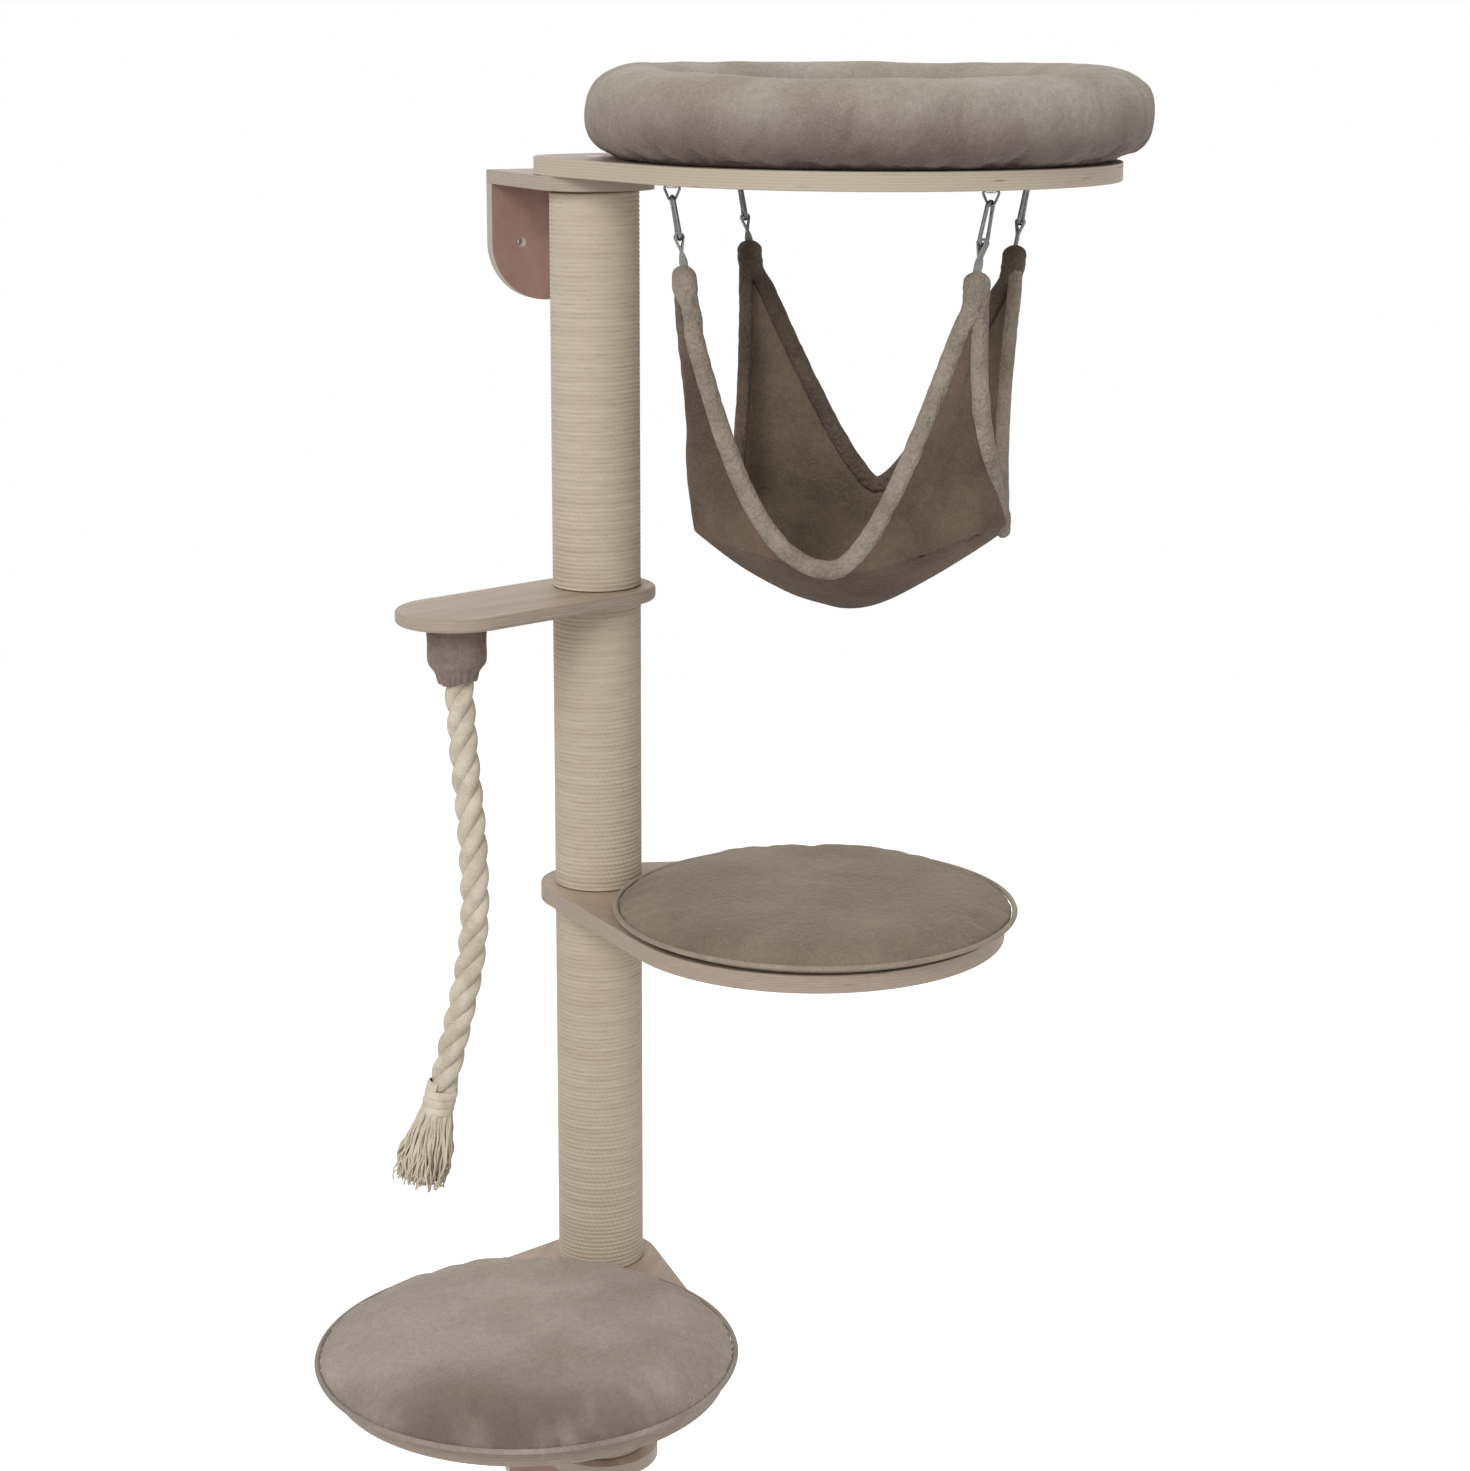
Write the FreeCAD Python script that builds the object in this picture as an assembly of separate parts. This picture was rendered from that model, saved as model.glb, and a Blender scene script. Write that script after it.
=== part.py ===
"""Wall mounted cat tree: a sisal post held between two wall brackets, with boards, beds,
a hanging hammock and a rope toy.

Millimetres. X runs to the right along the wall, Y points into the wall, Z is up. The origin
is midway between the two screw holes of the upper bracket, on the wall.
"""
import FreeCAD, Part
import math
import os

Vec = FreeCAD.Vector
UP = Vec(0, 0, 1)
same = 0.01               # two lengths closer than this are the same
DOWN = Vec(0, 0, -1)

# ---------------------------------------------------------------- driving dimensions
# plywood
plate_t = 14.0            # wall plates, bracket plates and step shelf
board_t = 18.0            # the three big boards
arm_w = 120.0             # width of the brackets and of the boards' narrow ends
plate_edge_r = 1.0        # broken edge of the plywood
shelf_edge_r = 4.0        # rounded edge of the step shelf
wall_plate_drop = 120.0   # height of a wall plate below its bracket plate
post_to_wall = 136.0      # post axis to the wall

# posts, from the top down
post_lengths = (400.0, 300.0, 400.0, 200.0)
core_d = 81.0             # outside of the board tube
core_wall = 5.0
sisal_d = 4.5             # rope wound round the tube, one layer
sisal_end_gap = 1.0       # bare tube left at each end of a winding
plug_t = 30.0             # wooden plug in each end of a tube
plug_play = 0.1

# boards: direction to the right of straight out from the wall, reach and round end
top_turn = 53.0
top_reach = 270.0         # post axis to the centre of the round end
top_end_r = 250.0
shelf_turn = -74.0
shelf_reach = 180.0
middle_turn = 36.0
bottom_turn = -41.0
lower_reach = 245.0       # middle and bottom boards
lower_end_r = 195.0

# joining hardware
stud_d = 8.0
stud_play = 0.05          # stud in its insert
insert_d = 12.0
insert_l = 20.0
insert_play = 0.05
stud_gap = 2.0            # stud end to insert end
stud_hole_play = 0.25     # stud in a board
bolt_head_d = 16.0
bolt_head_h = 4.5
wall_hole_d = 5.5
wall_hole_pitch = 56.0
wall_sink_d = 11.0
screw_d = 4.0
screw_l = 45.0
screw_head_d = 8.0
screw_head_h = 3.0
screw_pitch = 80.0
screw_play = 0.05

# soft bed on the top board
bed_r = 279.0
bed_foot_r = 248.0
bed_h = 95.0
bed_hole_r = 166.0        # narrowest place inside the bolster
bed_offset = 2.0          # past the board's centre
bed_base_t = 38.0
bed_hole_foot = 22.0      # the hole is this much wider at its foot
bolster_turns = (-60, -40, -20, 0, 20, 40, 55, 70, 80)   # degrees round a bolster's section
crest_half = 1.0          # half the flat left on the bolster's crest
soft_gap = 0.3            # soft piece to its seat

# cushions on the middle and bottom boards
cushion_offset = 5.0      # past the board's centre
bottom_cushion_offset = 8.0
cushion_gap = 5.0         # middle cushion to the post
bottom_cushion_gap = 2.0
middle_cushion_t = 30.0
bottom_cushion_t = 42.0
cushion_seam_share = 0.3  # height of the side seam, as a share of the thickness
cushion_foot_in = 12.0    # the foot is this much smaller in radius than the seam
cushion_low_in = 4.0      # the side, 0.4 of the way up to the seam
cushion_low_share = 0.4
crown_shares = (0.975, 0.93, 0.86, 0.76, 0.62, 0.44, 0.24, 0.08)   # of the radius
crown_power = 0.6

# hammock hangers
hook_pitch_u = 300.0      # along the top board's axis
hook_pitch_v = 300.0      # across it
hang_shift = -7.0         # of the four hangers, along the board's axis
hang_turn = -2.0          # degrees, of the four hangers about the round end's centre
strap_w = 9.0
strap_t = 1.0
strap_tail = 22.0
strap_screw_at = (8.0, 17.0)
strap_screw_d = 3.0
strap_screw_l = 12.0
strap_screw_head_d = 6.0
strap_screw_head_h = 1.8
ring_wire_d = 2.5
ring_bar = 9.5            # between the bends' centres
ring_h = 13.5             # bar to the lowest point, on the wire's axis
ring_bend_r = 4.0         # lower bend
ring_corner_r = 2.5
ring_play = 0.1           # bar in the folded strap
hook_wire_d = 4.0
hook_l = 44.0
hook_top_r = 5.0
hook_low_r = 7.0
hook_gap = 0.25           # ring to hook where they cross
hook_lean = 10.0          # degrees, towards the middle of the board
hook_twists = (24.0, 24.0, -24.0, -10.0)
nose_l = 3.0              # stub beside the gate's free end
hinge_l = 6.0             # stub above the gate's rivet
gate_d = 3.6
gate_gap = 0.4            # free end to nose
tongue_t = 1.4
tongue_share = 0.8        # rounding of the tongue's end, as a share of the gate's radius
tongue_play = 0.25
rivet_d = 1.4
rivet_play = 0.05
shoulder_gap = 0.5        # rounded gate end to the body's shoulder

# hammock
loop_w = 8.0              # webbing width
loop_t = 1.2
loop_half_gap = 3.6       # inside the loop, either side of the hook's wire
loop_headroom = 5.0       # inside the loop, above the wire's axis
loop_leg = 28.0           # hook's wire axis to the cloth
loop_eye = 11.0           # the two legs meet this far below the wire's axis
loop_eye_share = 0.8      # depth of the opening, as a share of that
strap_turn_l = 12.0       # below that the webbing turns over this length
strap_turns = (66.0, 66.0, -66.0, 0.0)   # degrees, at each corner
strap_turn_steps = 5
cloth_t = 6.0             # two layers of plush
edge_drop = 283.0         # corner to the lowest point of the front and side edges
back_drop = 248.0
front_low_u = -14.0       # the front edge hangs lowest here, along the board's axis
bowl_drop = 66.0          # lowest point of the front edge to the underside
bowl_low_u = -20.0        # the underside is lowest here
corner_out = 5.5          # cloth's outside, past the hooks
corner_w = 12.0           # gathered corner, along each edge
corner_r = ((0.0, 11.0), (0.82, 34.0), (1.0, 118.0))   # share of the depth, rounding in plan
edge_powers = (0.38, 0.70, 0.60, 0.60)   # how the front or back edge runs down from each corner
side_power = 0.36         # and the side edges
panel_levels = (0.0, 0.25, 0.5, 0.7, 0.82, 0.92, 0.97, 0.993, 1.0)   # of an edge's depth
bowl_profile = ((1.0, 0.0), (0.9, 0.13), (0.78, 0.3), (0.6, 0.54), (0.4, 0.76), (0.2, 0.93),
                (0.06, 1.0))

# rope toy under the step shelf
anchor_d = 54.0
anchor_h = 40.0
anchor_bore = 8.0
anchor_bore_play = 0.6    # the rope enters a little aslant
dowel_d = 8.0
dowel_l = 30.0
dowel_in_shelf = 8.0
cover_d = 60.0
cover_gap = 0.3
cover_mouth_d = 39.0
cover_mouth_play = 1.8    # round the rope, which leaves a little aslant
cover_l = 60.0
rope_d = 30.0
rope_play = 0.3
rope_heading = -27.0      # the rope hangs in a plane turned this far from X
# rope's route: across that plane, and down from the shelf's underside
rope_route = ((0, 33), (4, 125), (13, 220), (14.5, 318), (-5, 415), (-28.5, 508))
whipping_l = 28.0
whipping_t = 2.5
tassel_l = 80.0
tassel_d = 54.0
tassel_profile = ((0.0, 0.54), (0.3, 0.68), (0.65, 0.94), (0.9, 1.0), (1.0, 0.94))
trim_share = 0.45         # of a straight run, given up to each bend

# ---------------------------------------------------------------- levels and places
bracket_z = wall_plate_drop - arm_w / 2      # underside of the upper bracket plate
top_board_z = bracket_z + plate_t
bed_z = top_board_z + board_t
post_tops = [bracket_z]
between = (plate_t, board_t, board_t)        # step shelf, middle and bottom boards
for length, board in zip(post_lengths, between):
    post_tops.append(post_tops[-1] - length - board)
shelf_z = post_tops[1]
middle_z = post_tops[2]
bottom_z = post_tops[3]
low_bracket_z = post_tops[3] - post_lengths[3] - plate_t
post_r = core_d / 2 + sisal_d
cushion_r = lower_reach + cushion_offset - post_r - cushion_gap
bottom_cushion_r = lower_reach + bottom_cushion_offset - post_r - bottom_cushion_gap
axis = Vec(0, -post_to_wall, 0)
wall_y = -plate_t                            # front face of the wall plates


def heading(turn):
    """Unit vector turned to the right of straight out from the wall."""
    return Vec(math.sin(math.radians(turn)), -math.cos(math.radians(turn)), 0)


def at(turn, reach, z):
    return axis + heading(turn) * reach + UP * z


def save(name, *solids):
    shape = solids[0] if len(solids) == 1 else Part.makeCompound(list(solids))
    if not shape.isValid():
        print("not valid:", name)
    shape.exportStep(os.path.join("parts", name + ".step"))


# ---------------------------------------------------------------- plywood
def rim_rounded(solid, z_low, z_high, radius):
    """Round the outline's edges on both faces of a level board."""
    rims = []
    for edge in solid.Edges:
        for z in (z_low, z_high):
            if all(abs(v.Z - z) < same for v in edge.Vertexes):
                rims.append(edge)
    return solid.makeFillet(radius, rims)


def paddle(turn, reach, end_r, thickness, z, edge_r):
    """Board with a round end and a narrow round end, joined by two tangent lines."""
    small_r = arm_w / 2
    tilt = math.asin((end_r - small_r) / reach)
    along = heading(turn)
    side = Vec(-along.y, along.x, 0)
    far = at(turn, reach, z)
    near = at(turn, 0, z)
    out = side * math.cos(tilt) - along * math.sin(tilt)
    back = side * -math.cos(tilt) - along * math.sin(tilt)
    edges = [
        Part.LineSegment(near + out * small_r, far + out * end_r).toShape(),
        Part.Arc(far + out * end_r, far + along * end_r, far + back * end_r).toShape(),
        Part.LineSegment(far + back * end_r, near + back * small_r).toShape(),
        Part.Arc(near + back * small_r, near - along * small_r, near + out * small_r).toShape(),
    ]
    board = Part.Face(Part.Wire(edges)).extrude(UP * thickness)
    return rim_rounded(board, z, z + thickness, edge_r)


def drilled(board, diameter, where, z, thickness):
    return board.cut(Part.makeCylinder(diameter / 2, thickness, where + UP * z))


def countersunk(where, direction, shank_d, length, head_d, head_h):
    """Flat-headed screw. where is the middle of its head's top, direction its way in."""
    head = Part.makeCone(head_d / 2, shank_d / 2, head_h, where, direction)
    shank = Part.makeCylinder(shank_d / 2, length - head_h, where + direction * head_h, direction)
    return head.fuse(shank).removeSplitter()


def screw_room(where, direction, shank_d, length, head_d, head_h, play):
    return countersunk(where, direction, shank_d + 2 * play, length, head_d + 2 * play, head_h)


def bracket_screw_tops(z):
    """The screws go down through the bracket plate into the wall plate's top edge."""
    return [Vec(side * screw_pitch / 2, -plate_t / 2, z + plate_t) for side in (-1, 1)]


def bracket_plate(z):
    half = arm_w / 2
    near = at(0, 0, z)
    edges = [
        Part.LineSegment(Vec(-half, 0, z), near - Vec(half, 0, 0)).toShape(),
        Part.Arc(near - Vec(half, 0, 0), near - Vec(0, half, 0), near + Vec(half, 0, 0)).toShape(),
        Part.LineSegment(near + Vec(half, 0, 0), Vec(half, 0, z)).toShape(),
        Part.LineSegment(Vec(half, 0, z), Vec(-half, 0, z)).toShape(),
    ]
    plate = Part.Face(Part.Wire(edges)).extrude(UP * plate_t)
    for top in bracket_screw_tops(z):
        plate = plate.cut(screw_room(top, DOWN, screw_d, screw_l, screw_head_d,
                                     screw_head_h, screw_play))
    return plate


def wall_plate(z):
    """Upright plate below a bracket plate whose underside is at z."""
    half = arm_w / 2
    centre_z = z - wall_plate_drop + half
    corners = [Vec(-half, wall_y, z), Vec(half, wall_y, z)]
    bends = [Vec(half, wall_y, centre_z), Vec(0, wall_y, centre_z - half),
             Vec(-half, wall_y, centre_z)]
    edges = [
        Part.LineSegment(corners[0], corners[1]).toShape(),
        Part.LineSegment(corners[1], bends[0]).toShape(),
        Part.Arc(*bends).toShape(),
        Part.LineSegment(bends[2], corners[0]).toShape(),
    ]
    plate = Part.Face(Part.Wire(edges)).extrude(Vec(0, plate_t, 0))
    for side in (-1, 1):
        front = Vec(side * wall_hole_pitch / 2, wall_y, centre_z)
        sink_h = (wall_sink_d - wall_hole_d) / 2
        plate = plate.cut(countersunk(front, Vec(0, 1, 0), wall_hole_d, plate_t,
                                      wall_sink_d, sink_h))
    for top in bracket_screw_tops(z):
        plate = plate.cut(screw_room(top, DOWN, screw_d, screw_l, screw_head_d,
                                     screw_head_h, screw_play))
    return plate


# ---------------------------------------------------------------- posts
def tube(outer_d, inner_d, length, where):
    outer = Part.makeCylinder(outer_d / 2, length, where, DOWN)
    return outer.cut(Part.makeCylinder(inner_d / 2, length, where, DOWN))


def post(number, top, length):
    """One post: board tube, sisal winding, a plug in each end and the plugs' inserts."""
    plug_d = core_d - 2 * core_wall - 2 * plug_play
    start = axis + UP * top
    save("post_%d_core" % number, tube(core_d, core_d - 2 * core_wall, length, start))
    winding = length - 2 * sisal_end_gap
    save("post_%d_sisal" % number, tube(core_d + 2 * sisal_d, core_d, winding,
                                        start + DOWN * sisal_end_gap))
    plugs = []
    inserts = []
    for face, inward in ((start, DOWN), (start + DOWN * length, UP)):
        plug = Part.makeCylinder(plug_d / 2, plug_t, face, inward)
        seat = Part.makeCylinder(insert_d / 2 + insert_play, insert_l, face, inward)
        plugs.append(plug.cut(seat))
        insert = Part.makeCylinder(insert_d / 2, insert_l, face, inward)
        thread = Part.makeCylinder(stud_d / 2 + stud_play, insert_l, face, inward)
        inserts.append(insert.cut(thread))
    save("post_%d_plugs" % number, *plugs)
    return inserts


def joining_stud(z, thickness):
    """Stud from the insert above a board, through it, to the insert below."""
    reach = insert_l - stud_gap
    return Part.makeCylinder(stud_d / 2, thickness + 2 * reach, axis + UP * (z - reach))


# ---------------------------------------------------------------- soft round pieces
def round_loft(centre, profile):
    """Ruled loft through level circles, given as radius and height, each of four arcs."""
    wires = []
    for radius, height in profile:
        middle = centre + UP * height
        quarter = math.pi / 2
        arcs = []
        for n in range(4):
            turns = (n * quarter, (n + 0.5) * quarter, (n + 1) * quarter)
            points = [middle + Vec(math.cos(a), math.sin(a), 0) * radius for a in turns]
            arcs.append(Part.Arc(*points).toShape())
        wires.append(Part.Wire(arcs))
    return Part.makeLoft(wires, True, True)


def cushion(centre, radius, thickness):
    """Round cushion: crowned, drawn in to a seam round its side, flat where it lies."""
    seam = thickness * cushion_seam_share
    rise = thickness - seam
    profile = [(radius - cushion_foot_in, 0),
               (radius - cushion_low_in, seam * cushion_low_share), (radius, seam)]
    for share in crown_shares:
        profile.append((radius * share, seam + rise * (1 - share ** 2) ** crown_power))
    return round_loft(centre, profile)


def bed_bolster(centre):
    """Stuffed ring: a bulging outside less a waisted hole."""
    middle = bed_h / 2
    outside = [(bed_foot_r, 0)]
    hole = [(bed_hole_r + bed_hole_foot, 0)]
    crest_r = (bed_r + bed_hole_r) / 2
    for turn in bolster_turns:
        across = math.cos(math.radians(turn))
        up = middle + middle * math.sin(math.radians(turn))
        outside.append((crest_r + (bed_r - crest_r) * across, up))
        hole.append((crest_r - (crest_r - bed_hole_r) * across, up))
    outside.append((crest_r + crest_half, bed_h))
    hole.append((crest_r - crest_half, bed_h))
    return round_loft(centre, outside).cut(round_loft(centre, hole))


# ---------------------------------------------------------------- hanger hardware
# Local frame of a hanger: X along the top board's axis, Y across it, Z up, origin on the
# board's underside over the middle of the ring's bar.
barrel_r = ring_wire_d / 2 + ring_play + strap_t
bar_z = -barrel_r
bend_z = bar_z - ring_h + ring_bend_r                       # centre of the ring's lower bend
cross_gap = (ring_wire_d + hook_wire_d) / 2 + hook_gap      # ring's axis to hook's axis
eye_z = bend_z - ring_bend_r + cross_gap - hook_top_r       # centre of the hook's top bow
hook_centres = hook_l - hook_wire_d - hook_top_r - hook_low_r
hang_l = bend_z - eye_z + hook_centres + hook_low_r + loop_leg
cloth_top_z = bend_z - hang_l * math.cos(math.radians(hook_lean))
hook_corners = ((-1, -1), (-1, 1), (1, -1), (1, 1))
hook_names = ("front_left", "back_left", "front_right", "back_right")


def place_on_board(shape, u=0.0, v=0.0):
    """Move a shape from the hangers' own frame, set back to u and v, to its place."""
    placed = shape.copy()
    placed.translate(Vec(u, v, 0))
    placed.rotate(Vec(0, 0, 0), UP, top_turn - 90 + hang_turn)
    placed.translate(at(top_turn, top_reach + hang_shift, top_board_z))
    return placed


def rod(path, radius):
    """Round wire along a path of straight and tangent round stretches."""
    wire = Part.Wire(path)
    start = path[0].valueAt(path[0].FirstParameter)
    heading_in = path[0].tangentAt(path[0].FirstParameter)
    section = Part.Wire([Part.Circle(start, heading_in, radius).toShape()])
    return wire.makePipeShell([section], True, False)


def line(a, b):
    return Part.LineSegment(a, b).toShape()


def arc(a, b, c):
    return Part.Arc(a, b, c).toShape()


def hanger_strap(inward):
    """Strap folded round the ring's bar, with its tail screwed under the board."""
    barrel = Part.makeCylinder(barrel_r, strap_w, Vec(-strap_w / 2, 0, bar_z), Vec(1, 0, 0))
    tail = Part.makeBox(strap_w, strap_tail, 2 * strap_t, Vec(-strap_w / 2, 0, -2 * strap_t))
    strap = barrel.fuse(tail)
    room = Part.makeCylinder(ring_wire_d / 2 + ring_play, strap_w,
                             Vec(-strap_w / 2, 0, bar_z), Vec(1, 0, 0))
    strap = strap.cut(room)
    for reach in strap_screw_at:
        strap = strap.cut(Part.makeCylinder(strap_screw_d / 2 + screw_play, 2 * strap_t,
                                            Vec(0, reach, -2 * strap_t)))
    if inward < 0:
        strap = strap.mirror(Vec(0, 0, 0), Vec(0, 1, 0))
    return strap


def strap_screws(inward, play=0.0):
    screws = []
    for reach in strap_screw_at:
        seat = Vec(0, inward * reach, -2 * strap_t)
        head = Part.makeCylinder(strap_screw_head_d / 2, strap_screw_head_h, seat, DOWN)
        shank = Part.makeCylinder(strap_screw_d / 2 + play, strap_screw_l, seat)
        screws.append(head.fuse(shank).removeSplitter())
    return screws


def delta_ring():
    """Closed three-sided wire ring hanging from its straight bar."""
    half = ring_bar / 2
    corner = ring_corner_r
    top = Vec(half, 0, bar_z - corner)                      # centre of the right corner bend
    low = Vec(0, 0, bend_z)
    span = low - top
    turn_in = math.asin((ring_bend_r - corner) / span.Length)
    slope = math.atan2(span.z, span.x)
    normal_angle = slope + math.pi / 2 + turn_in
    normal = Vec(math.cos(normal_angle), 0, math.sin(normal_angle))
    mid_angle = (normal_angle + math.pi / 2) / 2
    middle = Vec(math.cos(mid_angle), 0, math.sin(mid_angle))
    mirrored = [Vec(-p.x, 0, p.z) for p in (top + normal * corner, top + middle * corner,
                                            top + UP * corner, low + normal * ring_bend_r)]
    path = [
        line(Vec(0, 0, bar_z), top + UP * corner),
        arc(top + UP * corner, top + middle * corner, top + normal * corner),
        line(top + normal * corner, low + normal * ring_bend_r),
        arc(low + normal * ring_bend_r, low + DOWN * ring_bend_r, mirrored[3]),
        line(mirrored[3], mirrored[0]),
        arc(mirrored[0], mirrored[1], mirrored[2]),
        line(mirrored[2], Vec(0, 0, bar_z)),
    ]
    return rod(path, ring_wire_d / 2)


def hook_side():
    """Tangent points and direction of the hook's gate side, hook in its own X-Z plane."""
    rise = (hook_low_r - hook_top_r) / hook_centres
    normal = Vec(math.sqrt(1 - rise ** 2), 0, rise)
    top = normal * hook_top_r
    low = DOWN * hook_centres + normal * hook_low_r
    down_line = (low - top).normalize()
    return top, low, down_line, normal


def gate_rivet_place():
    top, low, down_line, normal = hook_side()
    return top + down_line * hinge_l


def snap_hook():
    """Hook body: bent wire from the nose round the low bow, spine and top bow to the rivet."""
    top, low, down_line, normal = hook_side()
    wire_r = hook_wire_d / 2
    gate_r = gate_d / 2
    pivot = gate_rivet_place()
    shoulder = pivot - down_line * (gate_r + shoulder_gap)
    nose = low - down_line * nose_l
    left_top = Vec(-top.x, 0, top.z)
    left_low = Vec(-low.x, 0, low.z)
    path = [
        line(nose, low),
        arc(low, DOWN * (hook_centres + hook_low_r), left_low),
        line(left_low, left_top),
        arc(left_top, UP * hook_top_r, top),
        line(top, shoulder),
    ]
    body = rod(path, wire_r)
    tongue = Part.makeCylinder(gate_r, gate_r + shoulder_gap + gate_r * tongue_share,
                               shoulder, down_line)
    slab = Part.makeBox(4 * gate_r, tongue_t, 8 * gate_r,
                        Vec(pivot.x - 2 * gate_r, -tongue_t / 2, pivot.z - 4 * gate_r))
    rounding = Part.makeCylinder(gate_r * tongue_share, tongue_t, pivot - Vec(0, tongue_t / 2, 0),
                                 Vec(0, 1, 0))
    above = Part.makeCylinder(gate_r, gate_r + shoulder_gap, shoulder, down_line)
    tongue = tongue.common(slab).common(above.fuse(rounding))
    rivet = Part.makeCylinder(rivet_d / 2, gate_d, pivot - Vec(0, gate_d / 2, 0), Vec(0, 1, 0))
    return body.fuse([tongue, rivet]).removeSplitter()


def hook_gate():
    """Straight gate, forked over the body's tongue and turning on the rivet."""
    top, low, down_line, normal = hook_side()
    gate_r = gate_d / 2
    pivot = gate_rivet_place()
    free_end = low - down_line * (nose_l + gate_gap)
    length = (free_end - pivot).Length
    shaft = Part.makeCylinder(gate_r, length, pivot, down_line)
    stub = Part.makeCylinder(gate_r, gate_r, pivot, down_line * -1)
    cap = Part.makeCylinder(gate_r, gate_d, pivot - Vec(0, gate_r, 0), Vec(0, 1, 0))
    gate = shaft.fuse(stub.common(cap)).removeSplitter()
    slot_t = tongue_t + 2 * tongue_play
    slot = Part.makeCylinder(gate_r + tongue_play, slot_t, pivot - Vec(0, slot_t / 2, 0),
                             Vec(0, 1, 0))
    hole = Part.makeCylinder(rivet_d / 2 + rivet_play, gate_d, pivot - Vec(0, gate_r, 0),
                             Vec(0, 1, 0))
    return gate.cut(slot).cut(hole)


def loop_outline(half, top_z, low):
    """Round-topped outline across the webbing, narrowing to the points of low."""
    middle_z = top_z - half
    left, right = Vec(0, -half, middle_z), Vec(0, half, middle_z)
    points = [right] + low + [left]
    edges = [arc(left, Vec(0, 0, top_z), right)]
    for a, b in zip(points, points[1:]):
        edges.append(line(a, b))
    return Part.Face(Part.Wire(edges)).extrude(Vec(loop_w, 0, 0))


def webbing_section(turn, z):
    """Outline across the sewn webbing, turned about the strap's own axis."""
    half = (loop_w / 2, loop_t)
    corners = [Vec(x * half[0], y * half[1], z) for x, y in ((1, 1), (-1, 1), (-1, -1), (1, -1))]
    wire = Part.makePolygon(corners + corners[:1])
    wire.rotate(Vec(0, 0, 0), UP, turn)
    return wire


def webbing_loop(turn):
    """Webbing strap of the cloth's corner: folded round the hook's low bow, sewn, turned."""
    axis_z = -hook_centres - hook_low_r
    top_z = axis_z + loop_headroom
    sewn_z = axis_z - loop_eye
    flat_z = sewn_z - loop_t
    foot_z = axis_z - 2 * loop_leg
    outer = loop_outline(loop_half_gap + loop_t, top_z + loop_t,
                         [Vec(0, loop_t, sewn_z), Vec(0, loop_t, flat_z),
                          Vec(0, -loop_t, flat_z), Vec(0, -loop_t, sewn_z)])
    inner = loop_outline(loop_half_gap, top_z, [Vec(0, 0, axis_z - loop_eye * loop_eye_share)])
    loop = outer.cut(inner)
    loop.translate(Vec(-loop_w / 2, 0, 0))
    sections = []
    for n in range(strap_turn_steps + 1):
        share = n / strap_turn_steps
        sections.append(webbing_section(turn * share, flat_z - strap_turn_l * share))
    sections.append(webbing_section(turn, foot_z))
    return loop.fuse(Part.makeLoft(sections, True, True))


def hang(shape, side_u, twist):
    """Turn a piece of a hook from its own frame to how it hangs from its ring."""
    hung = shape.copy()
    hung.rotate(Vec(0, 0, 0), UP, 90 + twist)
    hung.translate(Vec(0, 0, eye_z))
    hung.rotate(Vec(0, 0, bend_z), Vec(0, 1, 0), side_u * hook_lean)
    return hung


# ---------------------------------------------------------------- hammock
corner_u = hook_pitch_u / 2 - hang_l * math.sin(math.radians(hook_lean)) + corner_out
corner_v = hook_pitch_v / 2 + corner_out


def outline_edges(pieces):
    """Edges of an outline given as lines (two points) and arcs (three points)."""
    edges = []
    for points in pieces:
        edges.append(line(*points) if len(points) == 2 else arc(*points))
    return edges


def corner_run(near_u, near_v, radius, inset):
    """Plan of a corner, from the front or back edge round to the side, inset from it."""
    far_u = corner_u - radius
    far_v = corner_v - radius
    reach = radius - inset
    diagonal = reach * math.sqrt(0.5)
    return [(Vec(near_u, corner_v - inset, 0), Vec(far_u, corner_v - inset, 0)),
            (Vec(far_u, corner_v - inset, 0), Vec(far_u + diagonal, far_v + diagonal, 0),
             Vec(corner_u - inset, far_v, 0)),
            (Vec(corner_u - inset, far_v, 0), Vec(corner_u - inset, near_v, 0))]


def edge_share(drop, depth, power, narrow):
    """How far an edge has run from its corner towards its lowest point, at a drop."""
    k = min(drop / depth, 1.0)
    return max(narrow, 1 - (1 - k) ** power)


def corner_rounding(drop, room):
    """Rounding of a corner in plan, no more than its shorter side has room for."""
    share = drop / edge_drop
    for (a, r_a), (b, r_b) in zip(corner_r, corner_r[1:]):
        if share <= b + same:
            return min(r_a + (r_b - r_a) * (share - a) / (b - a), room)
    return min(corner_r[-1][1], room)


def panel_wire(side_u, side_v, drop, power_v):
    """Closed plan of a corner panel at one level, power_v being its front or back edge's."""
    depth_v = edge_drop if side_v < 0 else back_drop
    low_u = side_u * front_low_u if side_v < 0 else 0.0
    share_u = edge_share(drop, depth_v, power_v, corner_w / corner_u)
    share_v = edge_share(drop, edge_drop, side_power, corner_w / corner_v)
    near_u = low_u + (corner_u - low_u) * (1 - share_u)
    near_v = corner_v * (1 - share_v)
    room = min(corner_u - near_u, corner_v - near_v) - 10 * same
    radius = corner_rounding(drop, room)
    outer = corner_run(near_u, near_v, radius, 0.0)
    inner = corner_run(near_u, near_v, radius, cloth_t)
    loop = outer + [(outer[-1][-1], inner[-1][-1])]
    loop += [tuple(reversed(points)) for points in reversed(inner)]
    loop.append((inner[0][0], outer[0][0]))
    z = cloth_top_z - drop
    placed = [[Vec(p.x * side_u, p.y * side_v, z) for p in points] for points in loop]
    return Part.Wire(outline_edges(placed))


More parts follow.
